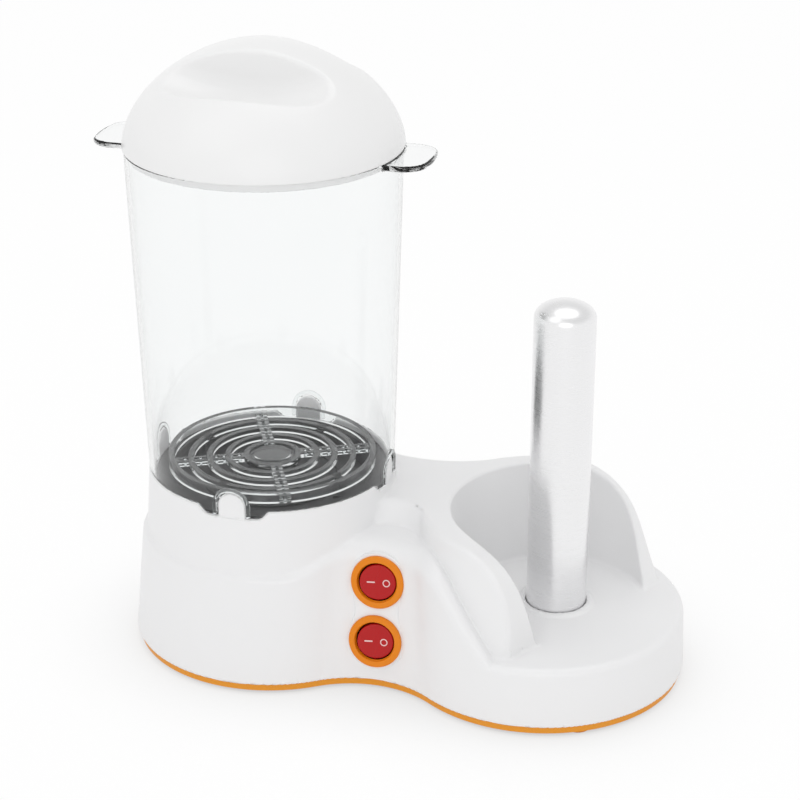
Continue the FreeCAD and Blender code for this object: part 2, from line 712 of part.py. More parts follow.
def hex_nut(radius, bore, z0, z1, x):
    points = []
    for i in range(6):
        px, py = polar(x, radius, 60 * i)
        points.append(Vector(px, py, z0))
    return prism(points, Vector(0, 0, z1 - z0)).cut(disc(bore, z0 - 1, z1 + 1, x))


def strap_nut():
    return hex_nut(4.6, STUD_R + SHAFT_GAP, STRAP_Z - 3.6, STRAP_Z, DRUM_X)


def strap_screws():
    return [screw(x, y, STRAP_Z, STRAP_SCREW_L) for x, y in post_places()]


def sensor(x, y, top):
    """Thermostat: round cap, square shoulder and two blades, hung under its seat."""
    body = disc(SENSOR_R, top - SENSOR_H, top, x, y)
    body = body.fuse(disc(SENSOR_R * 0.62, top - SENSOR_H - SENSOR_FOOT, top - SENSOR_H + 0.2,
                          x, y))
    for side in (-1, 1):
        cx = x + side * SENSOR_R * 0.4
        body = body.fuse(block(cx - 0.4, cx + 0.4, y - 2.4, y + 2.4,
                               top - SENSOR_H - SENSOR_FOOT - SENSOR_BLADE,
                               top - SENSOR_H - SENSOR_FOOT + 0.2))
    return body


def pan_thermostat():
    return sensor(DRUM_X - 17, 12, PLATE_Z)


def thermal_fuse():
    """Fuse tube with its leads, in a saddle under the heating plate."""
    z = PLATE_Z - FUSE_R - SADDLE_T
    x = DRUM_X + FUSE_AT[0]
    y = FUSE_AT[1]
    tube = Part.makeCylinder(FUSE_R, FUSE_L, Vector(x - FUSE_L / 2, y, z), Vector(1, 0, 0))
    lead = Part.makeCylinder(0.6, FUSE_L + 2 * FUSE_LEAD, Vector(x - FUSE_L / 2 - FUSE_LEAD, y, z),
                             Vector(1, 0, 0))
    saddle = block(x - SADDLE_W / 2, x + SADDLE_W / 2, y - FUSE_R - 2, y + FUSE_R + 2,
                   PLATE_Z - SADDLE_T, PLATE_Z)
    hoop = Part.makeCylinder(FUSE_R + SADDLE_T, SADDLE_W, Vector(x - SADDLE_W / 2, y, z),
                             Vector(1, 0, 0))
    return tube.fuse([lead, saddle, hoop])


def pan_gasket():
    return ring(PAN_BOWL_R + PAN_T + SEAT_GAP, PAN_R - 0.6, SHELF_Z, SHELF_Z + PAN_GASKET_T)


def notch_prism(half, top):
    """Arched notch through the jar's skirt at -Y."""
    low = DRUM_TOP_Z - TAB_DROP - 2
    post = block(DRUM_X - half, DRUM_X + half, -JAR_R - 5, -JAR_R + 10, low, top - half)
    head = Part.makeCylinder(half, 15, Vector(DRUM_X, -JAR_R + 10, top - half), Vector(0, -1, 0))
    return post.fuse(head)


def jar_radius(z):
    return JAR_R + (JAR_RIM_R - JAR_R) * (z - DRUM_TOP_Z) / (JAR_TOP_Z - DRUM_TOP_Z)


def ear():
    """Flat ear of the jar at +X, with a slightly round end and rounded corners."""
    low = JAR_TOP_Z - EAR_T
    body = block(DRUM_X + JAR_R - JAR_WALL, DRUM_X + EAR_REACH + 1, -EAR_HALF, EAR_HALF, low,
                 JAR_TOP_Z)
    body = body.common(disc(EAR_CROWN_R, low, JAR_TOP_Z, DRUM_X + EAR_REACH - EAR_CROWN_R))
    corners = [e for e in body.Edges if e.BoundBox.ZLength > EAR_T / 2
               and e.BoundBox.XMin > DRUM_X + JAR_RIM_R + 2]
    return body.makeFillet(EAR_CORNER_R, corners)


def jar():
    """Clear tapered jar, open at both ends, with two ears and a notched skirt."""
    low = DRUM_TOP_Z - TAB_DROP
    outer = cone(jar_radius(low), JAR_RIM_R, low, JAR_TOP_Z)
    body = outer.fuse([ear(), turned(ear(), 180)])
    body = body.cut(cone(jar_radius(low - 1) - JAR_WALL, jar_radius(JAR_TOP_Z + 1) - JAR_WALL,
                         low - 1, JAR_TOP_Z + 1))
    skirt = disc(JAR_R + 5, low - 1, DRUM_TOP_Z)
    for i in range(NOTCH_COUNT):
        skirt = skirt.cut(turned(tab_prism(0), 360 / NOTCH_COUNT * i))
    body = body.cut(skirt)
    for i in range(NOTCH_COUNT):
        notch = notch_prism(NOTCH_HALF, DRUM_TOP_Z + NOTCH_TOP)
        body = body.cut(turned(notch, 360 / NOTCH_COUNT * i))
    return body


def steam_rack():
    """Clear rack that keeps the sausages out of the water, on four legs in the pan."""
    top = RACK_Z + RACK_T
    parts = [ring(RACK_R - RACK_BAR, RACK_R, RACK_Z, RACK_Z + RACK_RIM_H)]
    parts += [ring(r - RACK_BAR / 2, r + RACK_BAR / 2, RACK_Z, top) for r in RACK_RINGS]
    for i in range(4):
        bar = block(DRUM_X + RACK_RINGS[0], DRUM_X + RACK_R - 0.5, -RACK_BAR, RACK_BAR, RACK_Z, top)
        slot = block(DRUM_X + RACK_RINGS[0] + 3, DRUM_X + RACK_R - 5, -0.9, 0.9, RACK_Z - 1, top + 1)
        parts.append(turned(bar.cut(slot), RACK_TURN + 90 * i))
        x, y = polar(DRUM_X, RACK_RINGS[-1], RACK_TURN + 45 + 90 * i)
        parts.append(disc(RACK_LEG_R, PAN_FLOOR_Z, RACK_Z + 0.5, x, y))
    parts.append(disc(RACK_RINGS[0] - RACK_BAR / 2 - 2.5, RACK_Z, top))
    parts.append(ring(RACK_RINGS[0] - RACK_BAR / 2 - 3, RACK_RINGS[0], RACK_Z, RACK_Z + 1.2))
    return parts[0].fuse(parts[1:])


def lid_dome(inset):
    """Dome of the lid above the jar's rim, drawn in by inset."""
    radius = LID_R - inset
    height = LID_H - inset
    points = []
    for i in range(13):
        share = math.sin(math.pi / 2 * i / 12)
        reach = max(0.0, 1 - share ** LID_POWER) ** (1 / LID_POWER)
        points.append(Vector(DRUM_X + radius * reach, 0, JAR_TOP_Z + height * share))
    curve = Part.BSplineCurve()
    curve.interpolate(Points=points, InitialTangent=Vector(0, 0, 60),
                      FinalTangent=Vector(-60, 0, 0))
    centre = Vector(DRUM_X, 0, JAR_TOP_Z)
    wire = Part.Wire([curve.toShape(), Part.makeLine(points[-1], centre),
                      Part.makeLine(centre, points[0])])
    return Part.Face(wire).revolve(centre, UP, 360)


def dome(radius, height, base_z, x=DRUM_X):
    """Half ellipsoid on a base plane, revolved about an upright axis."""
    ellipse = Part.Ellipse(Vector(0, 0, 0), max(radius, height), min(radius, height))
    quarter = ellipse.toShape(0, math.pi / 2)
    quarter.rotate(Vector(0, 0, 0), Vector(1, 0, 0), 90)
    quarter.translate(Vector(x, 0, base_z))
    start = Vector(x + radius, 0, base_z)
    top = Vector(x, 0, base_z + height)
    centre = Vector(x, 0, base_z)
    wire = Part.Wire([quarter, Part.makeLine(top, centre), Part.makeLine(centre, start)])
    return Part.Face(wire).revolve(centre, UP, 360)


def spindle(centre, length, radius):
    """Ellipsoid of revolution about a line along X, given by its half axes."""
    half = Part.Ellipse(Vector(0, 0, 0), length, radius).toShape(0, math.pi)
    chord = Part.makeLine(Vector(-length, 0, 0), Vector(length, 0, 0))
    ball = Part.Face(Part.Wire([half, chord])).revolve(Vector(0, 0, 0), Vector(1, 0, 0), 360)
    ball.translate(centre)
    return ball


def scoop(side, grow):
    """Finger hollow beside the grip bar: a spindle cut off at the bar's face."""
    centre = Vector(DRUM_X, side * SCOOP_Y, JAR_TOP_Z + LID_H - SCOOP_DROP)
    ball = spindle(centre, SCOOP_L + grow, SCOOP_R + grow)
    face = GRIP_HALF - grow
    reach = LID_R + 10
    y0, y1 = sorted((side * face, side * reach))
    keep = block(DRUM_X - reach, DRUM_X + reach, y0, y1, JAR_TOP_Z, JAR_TOP_Z + LID_H + 20)
    return ball.common(keep)


def lid():
    """Domed lid whose two finger hollows leave a grip bar between them."""
    outer = lid_dome(0)
    reach = LID_R + 10
    inner = lid_dome(LID_WALL).common(block(DRUM_X - reach, DRUM_X + reach, -reach, reach,
                                            JAR_TOP_Z + LID_WALL, JAR_TOP_Z + LID_H))
    lip_r = jar_radius(JAR_TOP_Z - LID_LIP_H) - JAR_WALL - LIFT_GAP
    inner = inner.fuse(disc(lip_r - LID_LIP_T, JAR_TOP_Z - LID_LIP_H - 1, JAR_TOP_Z + LID_WALL))
    for side in (-1, 1):
        outer = outer.cut(scoop(side, 0))
        inner = inner.cut(scoop(side, LID_WALL))
    body = outer.fuse(disc(lip_r, JAR_TOP_Z - LID_LIP_H, JAR_TOP_Z + 0.5))
    return body.cut(inner)


# ---- toasting side -----------------------------------------------------------

def spike_tube():
    """Steel tube with a domed tip and a flange under the platform."""
    neck = SPIKE_TOP_Z - SPIKE_TIP

    def solid(inset, low):
        body = disc(SPIKE_R - inset, low, neck, SPIKE_X)
        return body.fuse(dome(SPIKE_R - inset, SPIKE_TIP - inset, neck, SPIKE_X))

    body = solid(0, SPIKE_FLANGE_Z)
    body = body.fuse(disc(SPIKE_FLANGE_R, SPIKE_FLANGE_Z, SPIKE_GASKET_Z, SPIKE_X))
    return body.cut(solid(SPIKE_WALL, SPIKE_FLANGE_Z - 1))


def spike_gasket():
    return ring(SPIKE_R + SEAT_GAP, SPIKE_FLANGE_R, SPIKE_GASKET_Z, PLATFORM_Z - WALL, SPIKE_X)


def spike_seat():
    """Heat-proof seat that presses the spike's flange up, with two screw ears."""
    low = SPIKE_SEAT_Z
    body = disc(SPIKE_SEAT_R, low, SPIKE_FLANGE_Z, SPIKE_X)
    bar = block(SPIKE_X - SPIKE_EAR - 5, SPIKE_X + SPIKE_EAR + 5, -5.5, 5.5,
                SPIKE_FLANGE_Z - SEAT_EAR_T, SPIKE_FLANGE_Z)
    plug = disc(SPIKE_R - SPIKE_WALL - SEAT_GAP, SPIKE_FLANGE_Z - 0.5, SPIKE_FLANGE_Z + 3, SPIKE_X)
    body = body.fuse([bar, plug])
    holes = [disc(SCREW_R + SEAT_GAP, low - 1, SPIKE_FLANGE_Z + 1, x, y) for x, y in ear_places()]
    holes.append(disc(CARTRIDGE_R + SEAT_GAP, low - 1, SPIKE_FLANGE_Z + 4, SPIKE_X))
    return body.cut(holes)


def spike_seat_screws():
    return [screw(x, y, SPIKE_FLANGE_Z - SEAT_EAR_T, SEAT_SCREW_L) for x, y in ear_places()]


def spike_heater():
    """Cartridge heater on the spike's axis, with two lead pins."""
    low = SPIKE_SEAT_Z - 2
    body = disc(CARTRIDGE_R, low, low + CARTRIDGE_L, SPIKE_X)
    for y in (-2.0, 2.0):
        body = body.fuse(disc(0.8, low - 7, low + 0.5, SPIKE_X, y))
    return body


def spike_spacers():
    """Ceramic discs that centre the cartridge in the tube."""
    out = []
    for share in (0.3, 0.62, 0.94):
        z = SPIKE_SEAT_Z + CARTRIDGE_L * share - SPACER_T
        out.append(ring(CARTRIDGE_R + SEAT_GAP, SPIKE_R - SPIKE_WALL - SEAT_GAP, z, z + SPACER_T,
                        SPIKE_X))
    return out


def spike_thermostat():
    return sensor(SPIKE_X, 14.5, SPIKE_SEAT_Z)


# ---- switches ----------------------------------------------------------------

def along(point, *steps):
    """Move a point by pairs of direction and distance."""
    moved = Vector(point)
    for direction, distance in steps:
        moved = moved.add(Vector(direction).multiply(distance))
    return moved


def switch_bezel(z):
    point, normal, slope = panel_frame(z)
    body = Part.makeCylinder(BEZEL_R, BEZEL_T, point, normal)
    body = body.makeChamfer(0.8, [e for e in body.Edges
                                  if abs(e.BoundBox.Center.sub(point).dot(normal) - BEZEL_T) < 0.1
                                  and e.Length > 10])
    hole = Part.makeCylinder(BEZEL_BORE_R, BEZEL_T + 2, along(point, (normal, -1)), normal)
    return body.cut(hole)


def switch_body(z):
    """Black barrel behind the bezel: a cup for the rocker on a solid foot."""
    point, normal, slope = panel_frame(z)
    inward = Vector(normal).multiply(-1)
    body = Part.makeCylinder(BARREL_R, BARREL_L, point, inward)
    body = body.cut(Part.makeCylinder(BEZEL_BORE_R, CUP_DEPTH, point, inward))
    pin = along(point, (normal, -PIN_DEPTH), (slope, -BARREL_R - 1))
    body = body.cut(Part.makeCylinder(PIN_R + SHAFT_GAP, 2 * BARREL_R + 2, pin, slope))
    lamp = along(point, (normal, -CUP_DEPTH + 1))
    socket = Part.makeCylinder(LAMP_R + SEAT_GAP, LAMP_L + 1, lamp, inward)
    return body.cut(socket)


def switch_lamp(z):
    """Small lamp in the foot of the cup, under the rocker."""
    point, normal, slope = panel_frame(z)
    start = along(point, (normal, -CUP_DEPTH - LAMP_L))
    return Part.makeCylinder(LAMP_R, LAMP_L + 0.8, start, normal)


def switch_blades(z):
    """Three contact blades at the back of a barrel."""
    point, normal, slope = panel_frame(z)
    width, thick, length = BLADE
    out = []
    for i in (-1, 0, 1):
        corner = along(point, (normal, -BARREL_L), (slope, i * BLADE_PITCH - thick / 2))
        corner = corner.sub(Vector(width / 2, 0, 0))
        a = corner
        b = along(corner, (Vector(1, 0, 0), width))
        c = along(b, (slope, thick))
        d = along(a, (slope, thick))
        out.append(prism([a, b, c, d], Vector(normal).multiply(-length)))
    return out


def rocker(z):
    """Rocker with two facets, at rest with its +X side pressed in."""
    point, normal, slope = panel_frame(z)
    reach = ROCKER_R + 1
    lift = reach * math.tan(math.radians(ROCKER_TILT))

    def at(s, n):
        return along(point, (Vector(1, 0, 0), s), (normal, n), (slope, -reach))

    profile = [at(-reach, ROCKER_TOP + lift), at(0, ROCKER_TOP), at(reach, ROCKER_TOP + lift),
               at(reach, ROCKER_BOTTOM), at(-reach, ROCKER_BOTTOM)]
    body = prism(profile, Vector(slope).multiply(2 * reach))
    rod = Part.makeCylinder(ROCKER_R, 12, along(point, (normal, -6)), normal)
    body = body.common(rod)
    pin = along(point, (normal, -PIN_DEPTH), (slope, -BARREL_R + 0.3))
    body = body.fuse(Part.makeCylinder(PIN_R, 2 * BARREL_R - 0.6, pin, slope))
    body.rotate(along(point, (normal, -PIN_DEPTH)), slope, ROCKER_TILT)
    return body


# ---- supply ------------------------------------------------------------------

def cord_gland():
    """Rubber bush in the rear flank: flange outside, groove for the wall, rim inside."""
    x = DRUM_X + GLAND_X
    y = gland_face_y()
    back = Vector(0, 1, 0)
    flange = Part.makeCylinder(GLAND_FLANGE_R, GLAND_FLANGE_T, Vector(x, y, GLAND_Z), back)
    neck = Part.makeCylinder(GLAND_R, GLAND_PAD_T + 1, Vector(x, y - GLAND_PAD_T - 0.5, GLAND_Z),
                             back)
    rim = Part.makeCylinder(GLAND_R + 1.4, 2.0, Vector(x, y - GLAND_PAD_T - 2, GLAND_Z), back)
    bore = Part.makeCylinder(GLAND_BORE_R, 30, Vector(x, y - 20, GLAND_Z), back)
    return flange.fuse([neck, rim]).cut(bore)


def terminal_block():
    """Three-way block on the base plate, with wire holes and clamp screws in it."""
    x = DRUM_X + GLAND_X
    z = FOOT_H + BASE_T
    length, depth, height = BLOCK_SIZE
    body = block(x - length / 2, x + length / 2, BLOCK_Y - depth / 2, BLOCK_Y + depth / 2, z,
                 z + height)
    holes = []
    for i in (-1, 0, 1):
        px = x + i * length / 3.2
        holes.append(Part.makeCylinder(2.0, depth + 2, Vector(px, BLOCK_Y - depth / 2 - 1,
                                                               z + 5), Vector(0, 1, 0)))
        holes.append(disc(1.9, z + 5, z + height + 1, px, BLOCK_Y))
    return body.cut(holes)


def clamp_screws():
    """Three short screws in the terminal block."""
    x = DRUM_X + GLAND_X
    z = FOOT_H + BASE_T
    out = []
    for i in (-1, 0, 1):
        px = x + i * BLOCK_SIZE[0] / 3.2
        out.append(disc(1.9 - SHAFT_GAP, z + 6.5, z + BLOCK_SIZE[2] - 0.6, px, BLOCK_Y))
    return out


def main():
    save("housing", housing())
    save("base_plate", base_plate())
    save("feet", Part.makeCompound(feet()))
    save("base_screws", Part.makeCompound(base_screws()))
    save("heating_pan", heating_pan())
    save("pan_gasket", pan_gasket())
    save("heating_plate", heating_plate())
    save("heating_coil", heating_coil())
    save("pan_strap", pan_strap())
    save("strap_nut", strap_nut())
    save("strap_screws", Part.makeCompound(strap_screws()))
    save("pan_thermostat", pan_thermostat())
    save("thermal_fuse", thermal_fuse())
    save("jar", jar())
    save("steam_rack", steam_rack())
    save("lid", lid())
    save("spike_tube", spike_tube())
    save("spike_gasket", spike_gasket())
    save("spike_seat", spike_seat())
    save("spike_seat_screws", Part.makeCompound(spike_seat_screws()))
    save("spike_heater", spike_heater())
    save("spike_spacers", Part.makeCompound(spike_spacers()))
    save("spike_thermostat", spike_thermostat())
    for side, z in zip(("lower", "upper"), switch_heights()):
        save(side + "_switch_bezel", switch_bezel(z))
        save(side + "_switch_body", switch_body(z))
        save(side + "_switch_lamp", switch_lamp(z))
        save(side + "_switch_blades", Part.makeCompound(switch_blades(z)))
        save(side + "_rocker", rocker(z))
    save("cord_gland", cord_gland())
    save("terminal_block", terminal_block())
    save("clamp_screws", Part.makeCompound(clamp_screws()))


if __name__ == "__main__":
    main()
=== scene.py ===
"""Hot dog toaster in its looks: soft white mouldings, a clear jar, steel and red rockers.

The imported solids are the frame. The housing, the jar and the lid are moulded again here
with the soft edges of the real ones, small fittings get their real edges and marks, and
every solid that stays gets its own finish. Sizes in the classes are millimetres.
"""
import enum
import logging
import math
from dataclasses import dataclass, field
from typing import Callable, Optional, Sequence

import bmesh
import bpy
import numpy as np
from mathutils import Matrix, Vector


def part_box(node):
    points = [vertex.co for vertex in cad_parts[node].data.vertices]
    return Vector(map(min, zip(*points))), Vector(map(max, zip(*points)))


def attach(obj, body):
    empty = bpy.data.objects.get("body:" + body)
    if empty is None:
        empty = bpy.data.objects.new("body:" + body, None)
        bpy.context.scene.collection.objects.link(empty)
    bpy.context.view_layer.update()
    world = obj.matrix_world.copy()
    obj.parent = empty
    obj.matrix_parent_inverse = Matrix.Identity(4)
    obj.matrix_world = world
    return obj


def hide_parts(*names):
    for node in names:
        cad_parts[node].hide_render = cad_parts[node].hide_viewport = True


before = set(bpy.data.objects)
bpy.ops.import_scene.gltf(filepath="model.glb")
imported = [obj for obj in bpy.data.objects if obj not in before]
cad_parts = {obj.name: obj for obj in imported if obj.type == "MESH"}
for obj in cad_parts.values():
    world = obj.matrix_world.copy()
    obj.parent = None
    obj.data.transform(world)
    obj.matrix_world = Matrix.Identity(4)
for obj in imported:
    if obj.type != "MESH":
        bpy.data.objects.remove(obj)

LOG = logging.getLogger("hot_dog_toaster")
MM = 0.001
DRUM_X = -69.35
FAR = 50.0
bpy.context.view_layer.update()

Array = np.ndarray
Field = Callable[[Array, Array, Array], Array]
Colour = tuple[float, float, float]


# ---- shaping rules --------------------------------------------------------------

def round_both(a: Array, b: Array, radius: Array) -> Array:
    """Distance to what lies in both shapes, with their common edge rounded.

    Args:
        a: distance to the first shape, negative inside.
        b: distance to the second shape.
        radius: rounding of the edge, one value or one for each point.

    Returns:
        The joint distance.
    """
    u = np.maximum(a + radius, 0.0)
    v = np.maximum(b + radius, 0.0)
    return np.minimum(-radius, np.maximum(a, b)) + np.hypot(u, v)


def round_either(a: Array, b: Array, radius: float) -> Array:
    """Distance to what lies in one shape or the other, with a fillet between them.

    Args:
        a: distance to the first shape, negative inside.
        b: distance to the second shape.
        radius: fillet where they meet.

    Returns:
        The joint distance.
    """
    u = np.maximum(radius - a, 0.0)
    v = np.maximum(radius - b, 0.0)
    return np.maximum(radius, np.minimum(a, b)) - np.hypot(u, v)


def round_off(a: Array, b: Array, radius: float) -> Array:
    """Distance to the first shape less the second, with the cut's edge rounded."""
    return round_both(a, -b, radius)


def eased(s: Array, start: float, end: float, slope_start: float = 0.0,
          slope_end: float = 0.0) -> Array:
    """Height on a cubic that joins two heights with given slopes.

    Args:
        s: place along the step, 0 at its start and 1 at its end.
        start: height at its start.
        end: height at its end.
        slope_start: rise per unit of s at the start.
        slope_end: rise per unit of s at the end.

    Returns:
        The height, held level outside the step.
    """
    t = np.clip(s, 0.0, 1.0)
    t2, t3 = t * t, t * t * t
    return (start * (2 * t3 - 3 * t2 + 1) + slope_start * (t3 - 2 * t2 + t)
            + end * (3 * t2 - 2 * t3) + slope_end * (t3 - t2))


def skin_points(shape: Field, low: Sequence[float], high: Sequence[float],
                step: float) -> tuple[Array, Array]:
    """Cover a shape's surface with an even net of four-sided faces.

    Args:
        shape: distance to the shape, negative inside.
        low: lowest corner of the space to search, in millimetres.
        high: its highest corner.
        step: size of the net.

    Returns:
        Points and four-sided faces that point outwards.
    """
    axes = [np.arange(a, b + step, step) for a, b in zip(low, high)]
    nx, ny, nz = [len(a) for a in axes]
    value = np.empty((nx, ny, nz))
    plane_y, plane_z = np.meshgrid(axes[1], axes[2], indexing="ij")
    for start in range(0, nx, 24):
        xs = axes[0][start:start + 24]
        shaped = np.broadcast_to(xs[:, None, None], (len(xs), ny, nz))
        value[start:start + 24] = shape(shaped, np.broadcast_to(plane_y, shaped.shape),
                                        np.broadcast_to(plane_z, shaped.shape))
    total = np.zeros((nx - 1, ny - 1, nz - 1, 3))
    count = np.zeros((nx - 1, ny - 1, nz - 1))
    crossings = []
    for axis in range(3):
        near = [slice(None)] * 3
        far = [slice(None)] * 3
        near[axis] = slice(0, -1)
        far[axis] = slice(1, None)
        a, b = value[tuple(near)], value[tuple(far)]
        cross = (a < 0) != (b < 0)
        share = np.where(cross, a / np.where(cross, a - b, 1.0), 0.0)
        crossings.append((cross, a < 0))
        others = [i for i in range(3) if i != axis]
        for p in (0, 1):
            for q in (0, 1):
                pick = [slice(None)] * 3
                for other, side in zip(others, (p, q)):
                    pick[other] = slice(side, value.shape[other] - 1 + side)
                hit = cross[tuple(pick)]
                count += hit
                total[..., axis] += np.where(hit, share[tuple(pick)], 0.0)
                total[..., others[0]] += hit * p
                total[..., others[1]] += hit * q
    used = count > 0
    number = np.full(used.shape, -1, np.int64)
    number[used] = np.arange(int(used.sum()))
    cell = np.argwhere(used)
    place = cell + total[used] / count[used][:, None]
    points = np.array(low) + place * step
    faces = []
    for axis, (cross, starts_inside) in enumerate(crossings):
        u, v = [(1, 2), (2, 0), (0, 1)][axis]
        inner = [slice(1, -1)] * 3
        inner[axis] = slice(None)
        hit = np.argwhere(cross[tuple(inner)])
        hit[:, u] += 1
        hit[:, v] += 1
        corners = []
        for du, dv in ((1, 1), (0, 1), (0, 0), (1, 0)):
            at = hit.copy()
            at[:, u] -= du
            at[:, v] -= dv
            corners.append(number[at[:, 0], at[:, 1], at[:, 2]])
        quad = np.stack(corners, 1)
        flip = ~starts_inside[hit[:, 0], hit[:, 1], hit[:, 2]]
        quad[flip] = quad[flip][:, ::-1]
        faces.append(quad)
    return points, np.concatenate(faces)


def slope_at(shape: Field, points: Array, reach: float = 0.02) -> Array:
    """Direction in which a shape's distance grows at each point."""
    slope = np.empty_like(points)
    for axis in range(3):
        move = np.zeros(3)
        move[axis] = reach
        ahead, behind = points + move, points - move
        slope[:, axis] = (shape(*ahead.T) - shape(*behind.T)) / (2 * reach)
    return slope


def settle(shape: Field, points: Array, rounds: int = 3, most: float = 0.6) -> Array:
    """Move a net's points onto the exact surface.

    Args:
        shape: distance to the shape.
        points: points close to its surface.
        rounds: how often they are moved.
        most: longest move in one round, in millimetres.

    Returns:
        The moved points.
    """
    for _ in range(rounds):
        slope = slope_at(shape, points)
        size = np.maximum((slope * slope).sum(1), 0.2)
        move = np.clip(shape(*points.T) / size, -most, most)
        points = points - slope * move[:, None]
    return points


# ---- meshes ---------------------------------------------------------------------

def mesh_piece(name: str, points: Array, faces: Sequence[Sequence[int]],
               smooth: bool = True) -> bpy.types.Object:
    """Make an object whose place is in its mesh.

    Args:
        name: name of the piece.
        points: corners in millimetres.
        faces: corner numbers of each face.
        smooth: whether its faces are shaded smooth.

    Returns:
        The object, at the origin.
    """
    mesh = bpy.data.meshes.new(name)
    mesh.from_pydata((np.asarray(points, float) * MM).tolist(), [],
                     [list(map(int, f)) for f in faces])
    mesh.update()
    mesh.shade_smooth() if smooth else mesh.shade_flat()
    piece = bpy.data.objects.new(name, mesh)
    bpy.context.scene.collection.objects.link(piece)
    return piece


def plain_mesh(piece: bpy.types.Object) -> bpy.types.Object:
    """Turn a piece's modifiers into plain mesh and take them off.

    Args:
        piece: object with live modifiers.

    Returns:
        The same object.
    """
    depsgraph = bpy.context.evaluated_depsgraph_get()
    made = bpy.data.meshes.new_from_object(piece.evaluated_get(depsgraph))
    piece.modifiers.clear()
    piece.data = made
    made.name = piece.name
    return piece


def thinned(piece: bpy.types.Object, most: int) -> bpy.types.Object:
    """Bring a piece's triangles down to a number, flat places first."""
    triangles = sum(len(p.vertices) - 2 for p in piece.data.polygons)
    if triangles > most:
        step = piece.modifiers.new("thin", "DECIMATE")
        step.ratio = most / triangles
        plain_mesh(piece)
    return piece


def outward(piece: bpy.types.Object) -> bpy.types.Object:
    """Merge doubles and turn every face of a closed piece outwards."""
    work = bmesh.new()
    work.from_mesh(piece.data)
    bmesh.ops.remove_doubles(work, verts=work.verts, dist=1e-7)
    bmesh.ops.recalc_face_normals(work, faces=work.faces)
    work.to_mesh(piece.data)
    work.free()
    return piece


def moulded(name: str, shape: Field, low: Sequence[float], high: Sequence[float],
            step: float, most: int) -> bpy.types.Object:
    """Make a piece from a distance field, with smooth shading read from the field.

    Args:
        name: name of the piece.
        shape: distance to it, negative inside, in millimetres.
        low: lowest corner of the space it lies in.
        high: highest corner.
        step: size of the net.
        most: largest number of triangles.

    Returns:
        The piece.
    """
    points, faces = skin_points(shape, low, high, step)
    piece = mesh_piece(name, settle(shape, points), faces)
    thinned(piece, most)
    mesh = piece.data
    flat = np.empty(len(mesh.vertices) * 3)
    mesh.vertices.foreach_get("co", flat)
    normals = slope_at(shape, flat.reshape(-1, 3) / MM, 0.3)
    normals /= np.maximum(np.linalg.norm(normals, axis=1), 1e-9)[:, None]
    mesh.shade_smooth()
    mesh.normals_split_custom_set_from_vertices(normals.tolist())
    return piece


@dataclass(frozen=True)
class Seat:
    """Place and directions of a small piece: its foot, its axis and its upward side."""

    point: Array
    axis: Array
    up: Array

    @property
    def side(self) -> Array:
        """Direction across the seat, square to its axis and its upward side."""
        return np.cross(self.up, self.axis)

    def place(self, across: Array, along_up: Array, out: Array) -> Array:
        """Points given across, up and out from the seat, in the object's frame."""
        return (self.point + np.multiply.outer(across, self.side)
                + np.multiply.outer(along_up, self.up) + np.multiply.outer(out, self.axis))


FLOOR_SEAT = Seat(np.zeros(3), np.array([0.0, 0.0, 1.0]), np.array([0.0, 1.0, 0.0]))


def turned_faces(rows: int, columns: int, closed_profile: bool) -> list[list[int]]:
    """Faces of a turned piece whose points go round each profile point in turn."""
    faces = []
    last = rows if closed_profile else rows - 1
    for i in range(last):
        for j in range(columns):
            after, above = (j + 1) % columns, (i + 1) % rows * columns
            faces.append([i * columns + j, i * columns + after, above + after, above + j])
    return faces


def turned_piece(name: str, profile: Sequence[tuple[float, float]], seat: Seat = FLOOR_SEAT,
                 columns: int = 96, closed_profile: bool = False) -> bpy.types.Object:
    """Turn a profile of radius and height about a seat's axis.

    Args:
        name: name of the piece.
        profile: radius and height of each point, from foot to top.
        seat: where the piece stands.
        columns: points round the axis.
        closed_profile: whether the profile closes on itself, as a ring's does.

    Returns:
        The piece, closed and facing outwards.
    """
    turn = np.linspace(0, 2 * math.pi, columns, endpoint=False)
    rings = [seat.place(r * np.cos(turn), r * np.sin(turn), np.full(columns, h))
             for r, h in profile]
    faces = turned_faces(len(profile), columns, closed_profile)
    if not closed_profile:
        faces.append(list(range(columns))[::-1])
        faces.append([(len(profile) - 1) * columns + j for j in range(columns)])
    piece = mesh_piece(name, np.concatenate(rings), faces)
    outward(piece)
    for polygon in piece.data.polygons:
        polygon.use_smooth = len(polygon.vertices) < 5
    return piece


def corner_arc(centre: tuple[float, float], radius: float, start: float, end: float,
               steps: int = 6) -> list[tuple[float, float]]:
    """Points on a profile's rounded corner, from one direction in degrees to another."""
    turn = [math.radians(start + (end - start) * i / steps) for i in range(steps + 1)]
    return [(centre[0] + radius * math.cos(t), centre[1] + radius * math.sin(t)) for t in turn]


# ---- node helpers ---------------------------------------------------------------

class NodeSheet:
    """One node tree with short calls to place and join its nodes."""

    def __init__(self, tree: bpy.types.NodeTree) -> None:
        """Keep the tree."""
        self.tree = tree

    def node(self, kind: str, sockets: Optional[dict] = None, **settings) -> bpy.types.Node:
        """Place a node.

        Args:
            kind: type name of the node.
            sockets: values or source sockets by input name or number.
            settings: properties of the node.

        Returns:
            The node.
        """
        made = self.tree.nodes.new(kind)
        for key, value in settings.items():
            setattr(made, key, value)
        for key, value in (sockets or {}).items():
            if isinstance(value, bpy.types.NodeSocket):
                self.tree.links.new(value, made.inputs[key])
            else:
                made.inputs[key].default_value = value
        return made

    def calc(self, kind: str, a, b=0.0, c=None) -> bpy.types.NodeSocket:
        """Result of a Math node on two or three values or sockets."""
        sockets = {0: a, 1: b}
        if c is not None:
            sockets[2] = c
        return self.node("ShaderNodeMath", sockets, operation=kind).outputs[0]


